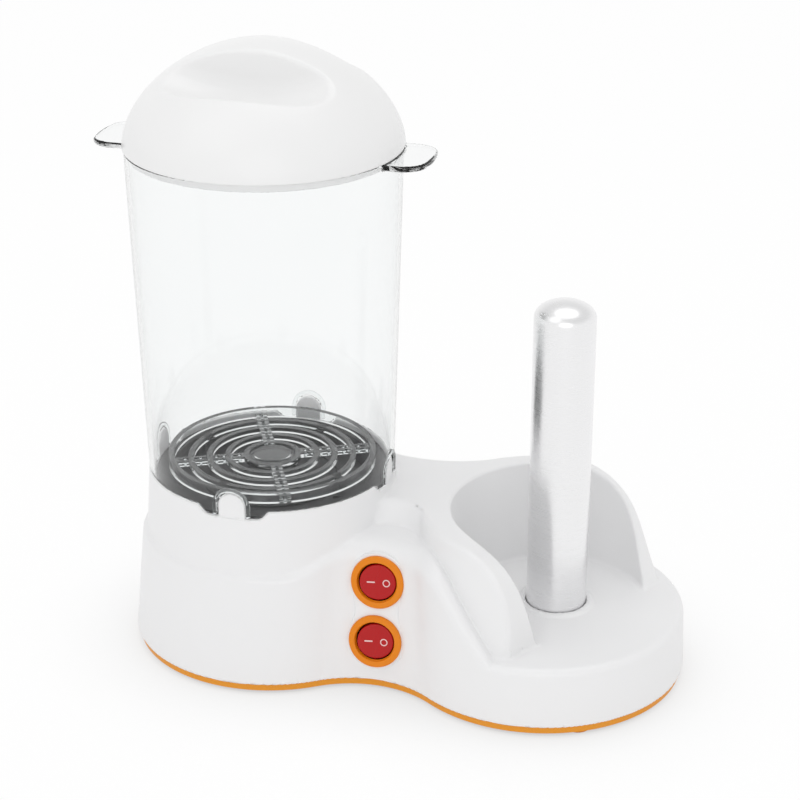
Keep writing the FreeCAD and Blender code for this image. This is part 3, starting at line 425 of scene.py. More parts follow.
def add_socket(tree: bpy.types.NodeTree, name: str, kind: str, direction: str,
               default=None) -> bpy.types.NodeTreeInterfaceSocket:
    """Add a named socket to a group and give it its usual value."""
    socket = tree.interface.new_socket(name=name, in_out=direction, socket_type=kind)
    if default is not None:
        socket.default_value = default
    return socket


# ---- effects shared by the finishes ---------------------------------------------

class Skin(enum.Enum):
    """Kinds of surface that a finish can have."""

    MOULDED = "moulded_skin"
    DRAWN = "drawn_metal"
    CAST = "cast_grain"
    CLEAR = "clear_moulding"


class Effects:
    """Shader node groups, each built once and used by every finish that needs it."""

    def __init__(self) -> None:
        """Build the groups."""
        self.made: dict[str, bpy.types.Material] = {}
        self.groups = {Skin.MOULDED: self.moulded_skin(), Skin.DRAWN: self.drawn_metal(),
                       Skin.CAST: self.cast_grain(), Skin.CLEAR: self.clear_moulding()}

    @staticmethod
    def start(name: str, colours: dict, values: dict) -> tuple[NodeSheet, bpy.types.Node]:
        """Open a group with its inputs and the usual outputs.

        Args:
            name: name of the group.
            colours: usual value of each colour input, the plain colour first.
            values: usual value of each other input, a number or a vector.

        Returns:
            The group's sheet and its input node.
        """
        tree = bpy.data.node_groups.new(name, "ShaderNodeTree")
        for title, colour in colours.items():
            add_socket(tree, title, "NodeSocketColor", "INPUT", (*colour, 1))
        for title, value in values.items():
            kind = "NodeSocketVector" if isinstance(value, tuple) else "NodeSocketFloat"
            add_socket(tree, title, kind, "INPUT", value)
        add_socket(tree, "Colour", "NodeSocketColor", "OUTPUT")
        for title in ("Roughness", "Height"):
            add_socket(tree, title, "NodeSocketFloat", "OUTPUT")
        sheet = NodeSheet(tree)
        return sheet, sheet.node("NodeGroupInput")

    @staticmethod
    def noise(sheet: NodeSheet, vector, scale, detail: float,
              distortion: float = 0.0) -> bpy.types.NodeSocket:
        """Soft noise that runs from 0 to 1."""
        return sheet.node("ShaderNodeTexNoise", {
            "Vector": vector, "Scale": scale, "Detail": detail,
            "Distortion": distortion}).outputs["Fac"]

    @staticmethod
    def close(sheet: NodeSheet, given: bpy.types.Node, second: str, share, swing,
              height) -> bpy.types.NodeTree:
        """End a group in its mixed tone, its varied roughness and its height.

        Args:
            sheet: the group's sheet.
            given: its input node.
            second: name of the second colour's input.
            share: share of the second colour.
            swing: noise that moves the roughness.
            height: height for the bump.

        Returns:
            The finished group.
        """
        tone = sheet.node("ShaderNodeMix", {0: share, 6: given.outputs["Colour"],
                                            7: given.outputs[second]}, data_type="RGBA")
        rough = sheet.calc("MULTIPLY_ADD", sheet.calc("SUBTRACT", swing, 0.5),
                           given.outputs["Roughness Spread"], given.outputs["Base Roughness"])
        sheet.node("NodeGroupOutput", {"Colour": tone.outputs[2], "Roughness": rough,
                                       "Height": height})
        return sheet.tree

    def moulded_skin(self) -> bpy.types.NodeTree:
        """Fine texture of a mould with slight changes of tone and gloss."""
        sheet, given = self.start(
            "moulded_skin", {"Colour": (0.8, 0.8, 0.8), "Shade": (0.7, 0.7, 0.7)},
            {"Mottle": 18.0, "Grain": 900.0, "Spread": 0.3, "Base Roughness": 0.35,
             "Roughness Spread": 0.08})
        spot = sheet.node("ShaderNodeTexCoord").outputs["Object"]
        broad = self.noise(sheet, spot, given.outputs["Mottle"], 3.0)
        fine = self.noise(sheet, spot, given.outputs["Grain"], 2.0)
        share = sheet.calc("MULTIPLY", broad, given.outputs["Spread"])
        return self.close(sheet, given, "Shade", share, broad, fine)

    def drawn_metal(self) -> bpy.types.NodeTree:
        """Long fine streaks left by polishing, with a slow change of tint."""
        sheet, given = self.start(
            "drawn_metal", {"Colour": (0.7, 0.7, 0.7), "Tint": (0.6, 0.5, 0.4)},
            {"Tint Share": 0.2, "Streaks": (60, 60, 2500), "Base Roughness": 0.25,
             "Roughness Spread": 0.15})
        spot = sheet.node("ShaderNodeTexCoord").outputs["Object"]
        pulled = sheet.node("ShaderNodeVectorMath", {0: spot, 1: given.outputs["Streaks"]},
                            operation="MULTIPLY").outputs[0]
        streak = self.noise(sheet, pulled, 1.0, 4.0)
        stain = self.noise(sheet, spot, 26.0, 5.0)
        share = sheet.calc("MULTIPLY", stain, given.outputs["Tint Share"])
        return self.close(sheet, given, "Tint", share, streak, streak)

    def cast_grain(self) -> bpy.types.NodeTree:
        """Pebbled grain of castings, fired clay and baked coats."""
        sheet, given = self.start(
            "cast_grain", {"Colour": (0.6, 0.6, 0.6), "Speck": (0.4, 0.4, 0.4)},
            {"Speck Share": 0.3, "Pebbles": 700.0, "Base Roughness": 0.55,
             "Roughness Spread": 0.2})
        spot = sheet.node("ShaderNodeTexCoord").outputs["Object"]
        pebble = sheet.node("ShaderNodeTexVoronoi", {
            "Vector": spot, "Scale": given.outputs["Pebbles"]},
            feature="SMOOTH_F1").outputs["Distance"]
        patch = self.noise(sheet, spot, 60.0, 6.0)
        share = sheet.calc("MULTIPLY", patch, given.outputs["Speck Share"])
        return self.close(sheet, given, "Speck", share, patch, pebble)

    def clear_moulding(self) -> bpy.types.NodeTree:
        """Slow flow waves and faint haze of a thick clear moulding."""
        sheet, given = self.start(
            "clear_moulding", {"Colour": (1.0, 1.0, 1.0), "Haze Colour": (0.9, 0.92, 0.92)},
            {"Flow": 14.0, "Base Roughness": 0.02, "Roughness Spread": 0.02})
        spot = sheet.node("ShaderNodeTexCoord").outputs["Object"]
        flow = self.noise(sheet, spot, given.outputs["Flow"], 2.0, 0.6)
        return self.close(sheet, given, "Haze Colour", flow, flow, flow)


# Painted shade for clear mouldings: a grey mixed into the colour where the surface turns away
# from the eye, standing in for the dark edges that refraction gives.
EDGE_BLEND = 0.35
EDGE_POWER = 3.0
EDGE_PAINTED_SHADE: Colour = (0.35, 0.37, 0.37)


@dataclass(frozen=True)
class Finish:
    """Colour and surface of one kind of piece."""

    name: str
    colour: Colour
    second: Colour
    roughness: float
    skin: Skin = Skin.MOULDED
    metallic: float = 0.0
    clear: float = 0.0
    ior: float = 1.5
    specular: float = 0.5
    # edge: share of the painted edge shade, the grey mixed in at grazing angles.
    edge: float = 0.0
    share: float = 0.3
    swing: float = 0.08
    grain: float = 900.0
    mottle: float = 18.0
    streaks: tuple[float, float, float] = (60.0, 60.0, 2500.0)
    bump: float = 0.05
    bump_depth: float = 0.0002
    passes: float = 0.0

    def sockets(self) -> dict:
        """Values of this finish for its effect group, by input name."""
        common = {"Colour": (*self.colour, 1), "Base Roughness": self.roughness,
                  "Roughness Spread": self.swing}
        second = (*self.second, 1)
        if self.skin is Skin.MOULDED:
            return {**common, "Shade": second, "Mottle": self.mottle, "Grain": self.grain,
                    "Spread": self.share}
        if self.skin is Skin.DRAWN:
            return {**common, "Tint": second, "Tint Share": self.share, "Streaks": self.streaks}
        if self.skin is Skin.CAST:
            return {**common, "Speck": second, "Speck Share": self.share, "Pebbles": self.grain}
        return {**common, "Haze Colour": second, "Flow": self.mottle}

    def material(self, effects: Effects) -> bpy.types.Material:
        """Build the material.

        Args:
            effects: the shared effect groups.

        Returns:
            The material, or the one made before under this name.
        """
        if self.name in effects.made:
            return effects.made[self.name]
        made = bpy.data.materials.new(self.name + "_finish")
        effects.made[self.name] = made
        made.use_nodes = True
        sheet = NodeSheet(made.node_tree)
        shader = made.node_tree.nodes["Principled BSDF"]
        effect = sheet.node("ShaderNodeGroup", node_tree=effects.groups[self.skin])
        for key, value in self.sockets().items():
            effect.inputs[key].default_value = value
        links = made.node_tree.links
        tone = effect.outputs["Colour"]
        # Painted shade: grey mixed into the colour at grazing angles, in place of the dark edges
        # that refraction gives clear pieces.
        if self.edge:
            facing = sheet.node("ShaderNodeLayerWeight", {"Blend": EDGE_BLEND}).outputs["Facing"]
            edge_shade_share = sheet.calc("POWER", facing, EDGE_POWER)
            tone = sheet.node("ShaderNodeMix", {0: sheet.calc("MULTIPLY", edge_shade_share, self.edge),
                                                6: tone, 7: (*EDGE_PAINTED_SHADE, 1)},
                              data_type="RGBA").outputs[2]
        links.new(tone, shader.inputs["Base Color"])
        links.new(effect.outputs["Roughness"], shader.inputs["Roughness"])
        if self.passes:
            rays = sheet.node("ShaderNodeLightPath")
            soft = sheet.calc("MAXIMUM", rays.outputs["Is Shadow Ray"],
                             rays.outputs["Is Diffuse Ray"])
            links.new(sheet.calc("MULTIPLY_ADD", soft, -self.passes, 1.0), shader.inputs["Alpha"])
        bump = sheet.node("ShaderNodeBump", {"Height": effect.outputs["Height"],
                                             "Strength": self.bump,
                                             "Distance": self.bump_depth})
        links.new(bump.outputs["Normal"], shader.inputs["Normal"])
        for key, value in (("Metallic", self.metallic), ("Transmission Weight", self.clear),
                           ("IOR", self.ior), ("Specular IOR Level", self.specular)):
            shader.inputs[key].default_value = value
        made.diffuse_color = (*self.colour, 1)
        return made


def bare_metal(name: str, colour: Colour, second: Colour, roughness: float,
               streaks: tuple[float, float, float], **rest: float) -> Finish:
    """Finish of drawn or machined metal, with the streaks' scale along each direction."""
    return Finish(name, colour, second, roughness, skin=Skin.DRAWN, metallic=1.0,
                  streaks=streaks, **rest)


WHITE_SHELL = Finish("white_shell", (0.86, 0.86, 0.865), (0.83, 0.83, 0.835), 0.34, grain=1500.0,
                     bump=0.04, swing=0.06, share=0.4)
WHITE_LID = Finish("white_lid", (0.87, 0.87, 0.87), (0.845, 0.845, 0.845), 0.28, grain=1500.0,
                   bump=0.03, swing=0.05, share=0.4)
ORANGE_BASE = Finish("orange_base", (0.82, 0.33, 0.03), (0.76, 0.28, 0.02), 0.35, share=0.5,
                     specular=0.3)
ORANGE_FEET = Finish("orange_feet", (0.74, 0.26, 0.02), (0.62, 0.2, 0.015), 0.62, share=0.5,
                     grain=700.0, bump=0.15)
ORANGE_RING = Finish("orange_ring", (0.8, 0.235, 0.004), (0.74, 0.2, 0.003), 0.35, share=0.4,
                     specular=0.3)
ROCKER_RED = Finish("rocker_red", (0.5, 0.008, 0.009), (0.36, 0.005, 0.006), 0.28, share=0.6,
                    specular=0.3)
MARK_WHITE = Finish("mark_white", (0.84, 0.6, 0.58), (0.78, 0.52, 0.5), 0.5, share=0.3)
SWITCH_BLACK = Finish("switch_black", (0.02, 0.02, 0.021), (0.035, 0.035, 0.035), 0.5,
                      grain=1100.0, bump=0.12)
LAMP_AMBER = Finish("lamp_amber", (0.95, 0.5, 0.2), (0.9, 0.4, 0.15), 0.08, skin=Skin.CLEAR,
                    clear=0.85, ior=1.5, bump=0.02)
# The jar's edge value paints a grey shade along its grazing edges.
CLEAR_JAR = Finish("clear_jar", (0.985, 0.99, 0.99), (0.955, 0.965, 0.965), 0.025,
                   skin=Skin.CLEAR, clear=1.0, ior=1.34, swing=0.02, mottle=9.0, bump=0.01,
                   bump_depth=0.0005, edge=0.4, passes=0.92)
CLEAR_RACK = Finish("clear_rack", (0.95, 0.96, 0.96), (0.9, 0.92, 0.92), 0.06,
                    skin=Skin.CLEAR, clear=1.0, ior=1.36, swing=0.04, mottle=60.0, bump=0.05,
                    bump_depth=0.0008, passes=0.6)
DARK_PAN = Finish("dark_pan", (0.02, 0.02, 0.021), (0.035, 0.035, 0.037), 0.3, skin=Skin.CAST,
                  grain=1400.0, share=0.5, specular=0.15, bump=0.08)
GREY_SILICONE = Finish("grey_silicone", (0.3, 0.3, 0.31), (0.24, 0.24, 0.25), 0.6)
CAST_PLATE = Finish("cast_plate", (0.62, 0.62, 0.64), (0.45, 0.45, 0.46), 0.5, skin=Skin.CAST,
                    metallic=1.0, grain=600.0, share=0.6, bump=0.3)
HEATER_SHEATH = bare_metal("heater_sheath", (0.36, 0.33, 0.31), (0.22, 0.15, 0.12), 0.42,
                           (300.0, 300.0, 300.0), share=0.9)
STRAP_STEEL = bare_metal("strap_steel", (0.58, 0.59, 0.6), (0.5, 0.47, 0.4), 0.34,
                         (1500.0, 40.0, 1500.0))
ZINC_SCREW = bare_metal("zinc_screw", (0.66, 0.66, 0.65), (0.55, 0.55, 0.5), 0.3,
                        (900.0, 900.0, 900.0))
ZINC_NUT = bare_metal("zinc_nut", (0.64, 0.64, 0.63), (0.52, 0.52, 0.48), 0.33,
                      (1200.0, 1200.0, 200.0))
SENSOR_BLACK = Finish("sensor_black", (0.035, 0.032, 0.03), (0.06, 0.055, 0.05), 0.55,
                      skin=Skin.CAST, grain=1200.0)
FUSE_CLIP = bare_metal("fuse_clip", (0.7, 0.52, 0.26), (0.5, 0.38, 0.2), 0.35,
                       (1600.0, 200.0, 1600.0))
SPIKE_STEEL = bare_metal("spike_steel", (0.88, 0.88, 0.89), (0.8, 0.79, 0.77), 0.28,
                         (40.0, 40.0, 5200.0), share=0.25, swing=0.05, bump=0.006,
                         bump_depth=0.00002)
BLACK_SEAT = Finish("black_seat", (0.03, 0.029, 0.028), (0.055, 0.05, 0.048), 0.6, skin=Skin.CAST,
                    grain=900.0)
CERAMIC_DISC = Finish("ceramic_disc", (0.8, 0.77, 0.7), (0.68, 0.64, 0.56), 0.75, skin=Skin.CAST,
                      grain=1500.0, share=0.4, bump=0.25)
BLACK_GLAND = Finish("black_gland", (0.022, 0.022, 0.022), (0.04, 0.04, 0.04), 0.7, bump=0.2)
TERMINAL_CREAM = Finish("terminal_cream", (0.78, 0.74, 0.62), (0.7, 0.65, 0.52), 0.5)
TERMINAL_BRASS = bare_metal("terminal_brass", (0.75, 0.55, 0.25), (0.55, 0.4, 0.18), 0.3,
                            (1500.0, 1500.0, 100.0))


class Workshop:
    """Holds the effects and dresses pieces and solids with the finishes."""

    def __init__(self) -> None:
        """Build the shared effects."""
        self.effects = Effects()
        self.count = 0

    def dress(self, piece: bpy.types.Object, finish: Finish) -> None:
        """Give a piece one finish all over."""
        piece.data.materials.clear()
        piece.data.materials.append(finish.material(self.effects))

    def dress_node(self, node: str, finish: Finish) -> None:
        """Give a solid that stays its finish."""
        self.dress(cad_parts[node], finish)
        LOG.info("solid %s in %s", node, finish.name)

    def fit(self, piece: bpy.types.Object, body: str, slot: str, finish: Optional[Finish],
            *nodes: str) -> bpy.types.Object:
        """Dress a finished piece and let it ride on its body.

        Args:
            piece: the finished piece.
            body: body that it moves with.
            slot: name of a material slot; not used.
            finish: its finish, or none where it is dressed already.
            nodes: solids that it stands for.

        Returns:
            The piece.
        """
        if finish is not None:
            self.dress(piece, finish)
        if nodes:
            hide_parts(*nodes)
        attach(piece, body)
        self.count += 1
        LOG.info("piece %s on %s, %d faces", piece.name, body, len(piece.data.polygons))
        return piece


# ---- what repeats ---------------------------------------------------------------

class Repeats:
    """Geometry node trees for what repeats or follows a path."""

    def __init__(self, shop: Workshop) -> None:
        """Build the trees."""
        self.shop = shop
        self.copies = self.copies_tree()
        self.bead = self.bead_tree()
        self.ladder = self.ladder_tree()

    @staticmethod
    def start(name: str, sockets: Sequence[tuple[str, str, object]]) -> tuple[
            bpy.types.NodeTree, NodeSheet, bpy.types.Node]:
        """Open a geometry tree with its inputs, a geometry and a material socket.

        Args:
            name: name of the tree.
            sockets: name, type and usual value of each size.

        Returns:
            The tree, its sheet and its input node.
        """
        tree = bpy.data.node_groups.new(name, "GeometryNodeTree")
        add_socket(tree, "Geometry", "NodeSocketGeometry", "INPUT")
        for title, kind, value in sockets:
            add_socket(tree, title, kind, "INPUT", value)
        add_socket(tree, "Finish", "NodeSocketMaterial", "INPUT")
        add_socket(tree, "Geometry", "NodeSocketGeometry", "OUTPUT")
        sheet = NodeSheet(tree)
        return tree, sheet, sheet.node("NodeGroupInput")

    @staticmethod
    def close(sheet: NodeSheet, given: bpy.types.Node, geometry: bpy.types.NodeSocket) -> None:
        """End a tree in Realize Instances and Set Material."""
        real = sheet.node("GeometryNodeRealizeInstances", {"Geometry": geometry})
        painted = sheet.node("GeometryNodeSetMaterial", {"Geometry": real.outputs["Geometry"],
                                                         "Material": given.outputs["Finish"]})
        sheet.node("NodeGroupOutput", {"Geometry": painted.outputs["Geometry"]})

    def copies_tree(self) -> bpy.types.NodeTree:
        """One copy of a template on each point, for screws and feet."""
        tree, sheet, given = self.start("copies_on_places", [
            ("Template", "NodeSocketObject", None), ("Size", "NodeSocketFloat", 1.0),
            ("Turn Between", "NodeSocketFloat", 0.6)])
        template = sheet.node("GeometryNodeObjectInfo", {"Object": given.outputs["Template"]})
        number = sheet.node("GeometryNodeInputIndex").outputs[0]
        turn = sheet.calc("MULTIPLY", number, given.outputs["Turn Between"])
        rotation = sheet.node("ShaderNodeCombineXYZ", {"Z": turn}).outputs[0]
        points = sheet.node("GeometryNodeMeshToPoints", {"Mesh": given.outputs["Geometry"]})
        spread = sheet.node("GeometryNodeInstanceOnPoints", {
            "Points": points.outputs[0], "Instance": template.outputs["Geometry"],
            "Rotation": rotation, "Scale": given.outputs["Size"]})
        self.close(sheet, given, spread.outputs[0])
        return tree

    def bead_tree(self) -> bpy.types.NodeTree:
        """Round bead that follows the edges of a path."""
        tree, sheet, given = self.start("bead_on_path", [
            ("Bead Radius", "NodeSocketFloat", 0.001), ("Sides", "NodeSocketInt", 10)])
        path = sheet.node("GeometryNodeMeshToCurve", {"Mesh": given.outputs["Geometry"]})
        ring = sheet.node("GeometryNodeCurvePrimitiveCircle", {
            "Resolution": given.outputs["Sides"], "Radius": given.outputs["Bead Radius"]})
        bead = sheet.node("GeometryNodeCurveToMesh", {
            "Curve": path.outputs[0], "Profile Curve": ring.outputs[0], "Fill Caps": True})
        smooth = sheet.node("GeometryNodeSetShadeSmooth", {"Geometry": bead.outputs[0]})
        self.close(sheet, given, smooth.outputs[0])
        return tree

    def ladder_tree(self) -> bpy.types.NodeTree:
        """Rungs in rows that stand round an axis, as on the rack's ribs."""
        tree, sheet, given = self.start("ladder_ribs", [
            ("Rungs", "NodeSocketInt", 7), ("Inner Radius", "NodeSocketFloat", 0.02),
            ("Spacing", "NodeSocketFloat", 0.005), ("Rows", "NodeSocketInt", 4),
            ("First Turn", "NodeSocketFloat", 0.0),
            ("Rung Size", "NodeSocketVector", (0.001, 0.004, 0.001)),
            ("Centre", "NodeSocketVector", (0.0, 0.0, 0.0))])
        start = sheet.node("ShaderNodeCombineXYZ", {"X": given.outputs["Inner Radius"]})
        step = sheet.node("ShaderNodeCombineXYZ", {"X": given.outputs["Spacing"]})
        line = sheet.node("GeometryNodeMeshLine", {
            "Count": given.outputs["Rungs"], "Start Location": start.outputs[0],
            "Offset": step.outputs[0]}, mode="OFFSET")
        rung = sheet.node("GeometryNodeMeshCube", {"Size": given.outputs["Rung Size"]})
        row = sheet.node("GeometryNodeInstanceOnPoints", {
            "Points": line.outputs[0], "Instance": rung.outputs[0]})
        hub = sheet.node("GeometryNodeMeshLine", {
            "Count": given.outputs["Rows"], "Start Location": given.outputs["Centre"],
            "Offset": (0.0, 0.0, 0.0)}, mode="OFFSET")
        number = sheet.node("GeometryNodeInputIndex").outputs[0]
        full = sheet.calc("DIVIDE", 2 * math.pi, given.outputs["Rows"])
        turn = sheet.calc("MULTIPLY_ADD", number, full, given.outputs["First Turn"])
        rotation = sheet.node("ShaderNodeCombineXYZ", {"Z": turn}).outputs[0]
        rows = sheet.node("GeometryNodeInstanceOnPoints", {
            "Points": hub.outputs[0], "Instance": row.outputs[0], "Rotation": rotation})
        self.close(sheet, given, rows.outputs[0])
        return tree

    def run(self, name: str, points: Array, edges: Sequence[tuple[int, int]],
            tree: bpy.types.NodeTree, sizes: dict, finish: Finish) -> bpy.types.Object:
        """Run a tree on places or a path and keep the result as a plain piece.

        Args:
            name: name of the piece.
            points: places in millimetres.
            edges: pairs of points that make a path.
            tree: the geometry tree.
            sizes: values of its inputs by name.
            finish: finish of the result.

        Returns:
            The piece.
        """
        mesh = bpy.data.meshes.new(name)
        mesh.from_pydata((np.asarray(points, float) * MM).tolist(), list(edges), [])
        piece = bpy.data.objects.new(name, mesh)
        bpy.context.scene.collection.objects.link(piece)
        step = piece.modifiers.new("repeat", "NODES")
        step.node_group = tree
        values = {**sizes, "Finish": finish.material(self.shop.effects)}
        for item in tree.interface.items_tree:
            if item.item_type == "SOCKET" and item.in_out == "INPUT" and item.name in values:
                step[item.identifier] = values[item.name]
        plain_mesh(piece)
        return piece


def drop(piece: bpy.types.Object) -> None:
    """Remove a template that has done its work."""
    mesh = piece.data
    bpy.data.objects.remove(piece)
    bpy.data.meshes.remove(mesh)


# ---- housing --------------------------------------------------------------------

@dataclass
class LowerOutline:
    """Sizes of the lower tier's outline, shared by the shell and its switches.

    Places along the length are taken from the drum's axis.
    """

    pitch: float = 150.0
    drum_r: float = 77.5
    drum_lean: float = 0.1
    lobe_r: float = 78.5
    lobe_lean: float = 0.045
    flank_r: float = 52.0
    flank_fall: float = 18.0
    edge_z: float = 6.0
    crest_z: float = 81.5


@dataclass
class SwitchLine(LowerOutline):
    """Where the two switches sit on the front flank."""

    x: float = 73.4
    lean: float = -0.1
    low_z: float = 29.3
    step: float = 32.4
    pad_height: float = 2.0

    def flank(self, z: float) -> float:
        """Distance of the front flank's hollow from the middle plane at a height."""
        rise = z - self.edge_z
        fall = self.flank_fall * rise / (self.crest_z - self.edge_z)
        a = self.drum_r - self.drum_lean * rise + self.flank_r - fall
        b = self.lobe_r - self.lobe_lean * rise + self.flank_r - fall
        x = (a * a - b * b + self.pitch ** 2) / (2 * self.pitch)
        return math.sqrt(a * a - x * x) - (self.flank_r - fall)

    def seat(self, z: float) -> Seat:
        """Seat on the pad's face at a height, axis outwards."""
        run = self.flank(self.edge_z) - self.flank(self.crest_z)
        lean = math.atan(run / (self.crest_z - self.edge_z))
        x = DRUM_X + self.x + self.lean * (z - self.low_z) / self.step
        return Seat(np.array([x, -self.flank(z) - self.pad_height, z]),
                    np.array([0.0, -math.cos(lean), math.sin(lean)]),
                    np.array([0.0, math.sin(lean), math.cos(lean)]))

    def seats(self) -> tuple[Seat, Seat]:
        """Seats of the lower and the upper switch."""
        return self.seat(self.low_z), self.seat(self.low_z + self.step)


@dataclass
class Housing(LowerOutline):
    """Two-lobed moulded shell: drum, switch panel, bridge, bay wall and platform."""

    ledge_z: float = 66.5
    platform_z: float = 38.5
    plateau_z: float = 94.5
    ceiling_z: float = 93.5
    wall: float = 2.5
    # Top of the lower tier along its front, then along its rear.
    crest_from: float = 27.0
    crest_full: float = 57.0
    crest_to: float = 98.0
    corner_x: float = 108.0
    corner_to: float = 115.0
    corner_drop: float = 9.5
    fall_to: float = 141.0
    rear_from: float = 84.0
    rear_rate: float = 49.4
    rear_slope: float = 0.867
    sunk: float = 14.0
    # Drum's collar, the jar's recess in it and the shelf below.
    drum_top: float = 102.4
    collar_r: float = 66.6
    collar_foot: float = 60.0
    collar_lean: float = 0.067
    collar_edge: float = 0.9
    recess_r: float = 64.1
    recess_z: float = 96.5
    shelf_r: float = 56.4
    shelf_z: float = 95.0
    # Bridge and bay wall, whose waist narrows upwards.
    upper_foot: float = 32.5
    upper_inset: float = 1.2
    upper_lobe_r: float = 69.5
    upper_lobe_fall: float = 5.7
    waist_low: float = 48.44
    waist_high: float = 12.6
    upper_rear_r: float = 65.0
    plateau_edge: float = 3.0
    arch_edge: float = 2.4
    spike_x: float = 159.0
    spike_bore_r: float = 16.3
    spike_bore_z: float = 38.0
    boss_r: float = 20.5
    boss_h: float = 1.4
    bay_r: float = 49.5
    bay_top_r: float = 57.0
    bay_turn: float = -26.0
    arch_front: tuple = ((-34.0, 56.0), (7.2, 46.0), (20.0, 16.5), (21.8, -1.0))
    arch_rear: tuple = ((-38.0, 56.0), (6.4, 37.5), (21.9, 11.0), (31.0, -1.0))
    # Roundings of top edges and the fillet on the platform.
    ledge_edge: float = 3.2
    crest_edge: float = 10.0
    corner_edge: float = 8.0
    platform_edge: float = 4.0
    rim_edge: float = 1.8
    foot_fillet: float = 2.0
    tier_fillet: float = 1.2
    # Slots for the jar's tabs and the arched lugs in them.
    slot_half: float = 14.9
    slot_lean: float = 0.93
    slot_z: float = 98.1
    slot_edge: float = 1.5
    lug_half: float = 7.4
    lug_z: float = 104.6
    lug_r: float = 65.1
    lug_foot: float = 97.5
    # Pad under both switches.
    pad_r: float = 15.8
    pad_waist: float = 0.75
    pad_proud: float = 0.45
    pad_depth: float = 5.5
    pad_edge: float = 0.5
    bore_r: float = 12.3
    bore_depth: float = 20.0
    # Bush for the supply cord at the rear.
    cord_x: float = 73.0
    cord_z: float = 20.0
    cord_pad_r: float = 11.0
    cord_bore_r: float = 6.8
    cord_head_r: float = 8.9
    screw_hole_r: float = 1.35
    step: float = 1.25
    triangles: int = 180000
    switches: SwitchLine = field(default_factory=SwitchLine)
    arch: Optional["ArchTable"] = None

    def lobes(self, x: Array, y: Array, drum: Array, lobe: Array, front: Array,
              rear: Array) -> Array:
        """Distance to the outline of two lobes joined by hollow flanks.

        Args:
            x: place along the length, from the drum's axis.
            y: place across.
            drum: radius of the drum's lobe.
            lobe: radius of the other lobe.
            front: radius of the hollow flank at the front.
            rear: radius of the hollow flank at the rear.

        Returns:
            The distance, negative inside.
        """
        ay = np.abs(y)
        flank = np.where(y < 0, front, rear)
        a, b = drum + flank, lobe + flank
        cx = (a * a - b * b + self.pitch ** 2) / (2 * self.pitch)
        cy = np.sqrt(np.maximum(a * a - cx * cx, 1.0))
        px, py = x - cx, ay - cy
        between = (-cx * py + cy * px >= 0) & ((self.pitch - cx) * py + cy * px <= 0)
        hollow = flank - np.hypot(px, py)
        round_parts = np.minimum(np.hypot(x, ay) - drum, np.hypot(x - self.pitch, ay) - lobe)
        return np.where(between, hollow, round_parts)

    def front_height(self, x: Array) -> Array:
        """Height of the raised part's top at the front, over the switch panel's crest."""
        low = self.crest_z - self.corner_drop
        rise = eased((x - self.crest_from) / (self.crest_full - self.crest_from), self.ledge_z,
                     self.crest_z, 6.0, 0.0)
        corner = eased((x - self.crest_to) / (self.corner_to - self.crest_to), self.crest_z,
                       low, 0.0, -21.0)
        fall = low - (x - self.corner_to) * (low - self.platform_z) / (
            self.fall_to - self.corner_to)
        top = np.where(x < self.crest_to, rise, np.where(x < self.corner_to, corner, fall))
        return np.maximum(top, self.platform_z - self.sunk)

    def rear_height(self, x: Array) -> Array:
        """Height of the raised part's top at the rear: a ledge that falls away."""
        fall = eased((x - self.rear_from) / (self.fall_to - self.rear_from), self.ledge_z,
                     self.platform_z, 0.0, -self.rear_rate)
        beyond = self.platform_z - (x - self.fall_to) * self.rear_slope
        return np.maximum(np.where(x > self.fall_to, beyond, fall), self.platform_z - self.sunk)

    def edge(self, x: Array, y: Array) -> Array:
        """Rounding of the lower tier's top edge, largest on the crest."""
        places = [self.crest_from, self.crest_full, self.crest_to, self.corner_x, self.fall_to]
        front = [self.ledge_edge, self.crest_edge, self.crest_edge, self.corner_edge,
                 self.platform_edge]
        rear = [self.ledge_edge] * 4 + [self.platform_edge]
        return np.where(y < 0, np.interp(x, places, front), np.interp(x, places, rear))

    def lower_tier(self, x: Array, y: Array, z: Array) -> tuple[Array, Array]:
        """The wide lower part: its flat slab under the platform and all of it."""
        rise = z - self.edge_z
        flank = self.flank_r - self.flank_fall * rise / (self.crest_z - self.edge_z)
        side = self.lobes(x, y, self.drum_r - self.drum_lean * rise,
                          self.lobe_r - self.lobe_lean * rise, flank, flank)
        top, ahead, behind = [np.where(y < 0, self.front_height(x + d), self.rear_height(x + d))
                              for d in (0.0, 0.5, -0.5)]
        over = (z - top) / np.hypot(1.0, ahead - behind)
        whole = round_both(side, over, self.edge(x, y))
        slab = round_both(side, z - self.platform_z, self.platform_edge)
        return slab, whole

    def upper_tier(self, x: Array, y: Array, z: Array) -> Array:
        """Bridge and wall round the bay, under the arched ends."""
        share = (z - self.upper_foot) / (self.plateau_z - self.upper_foot)
        lobe = self.upper_lobe_r - self.upper_lobe_fall * share
        drum = self.collar_r - self.upper_inset
        mean = (drum + lobe) / 2
        waist = self.waist_low + (self.waist_high - self.waist_low) * share
        front = (waist ** 2 + (self.pitch / 2) ** 2 - mean ** 2) / (2 * (mean - waist))
        side = self.lobes(x, y, drum, lobe, front, np.full_like(front, self.upper_rear_r))
        body = round_both(side, z - self.plateau_z, self.plateau_edge)
        ends = self.arch.distance(x - self.spike_x, y, z - self.platform_z)
        return np.maximum(round_both(body, ends, self.arch_edge), self.upper_foot - z)

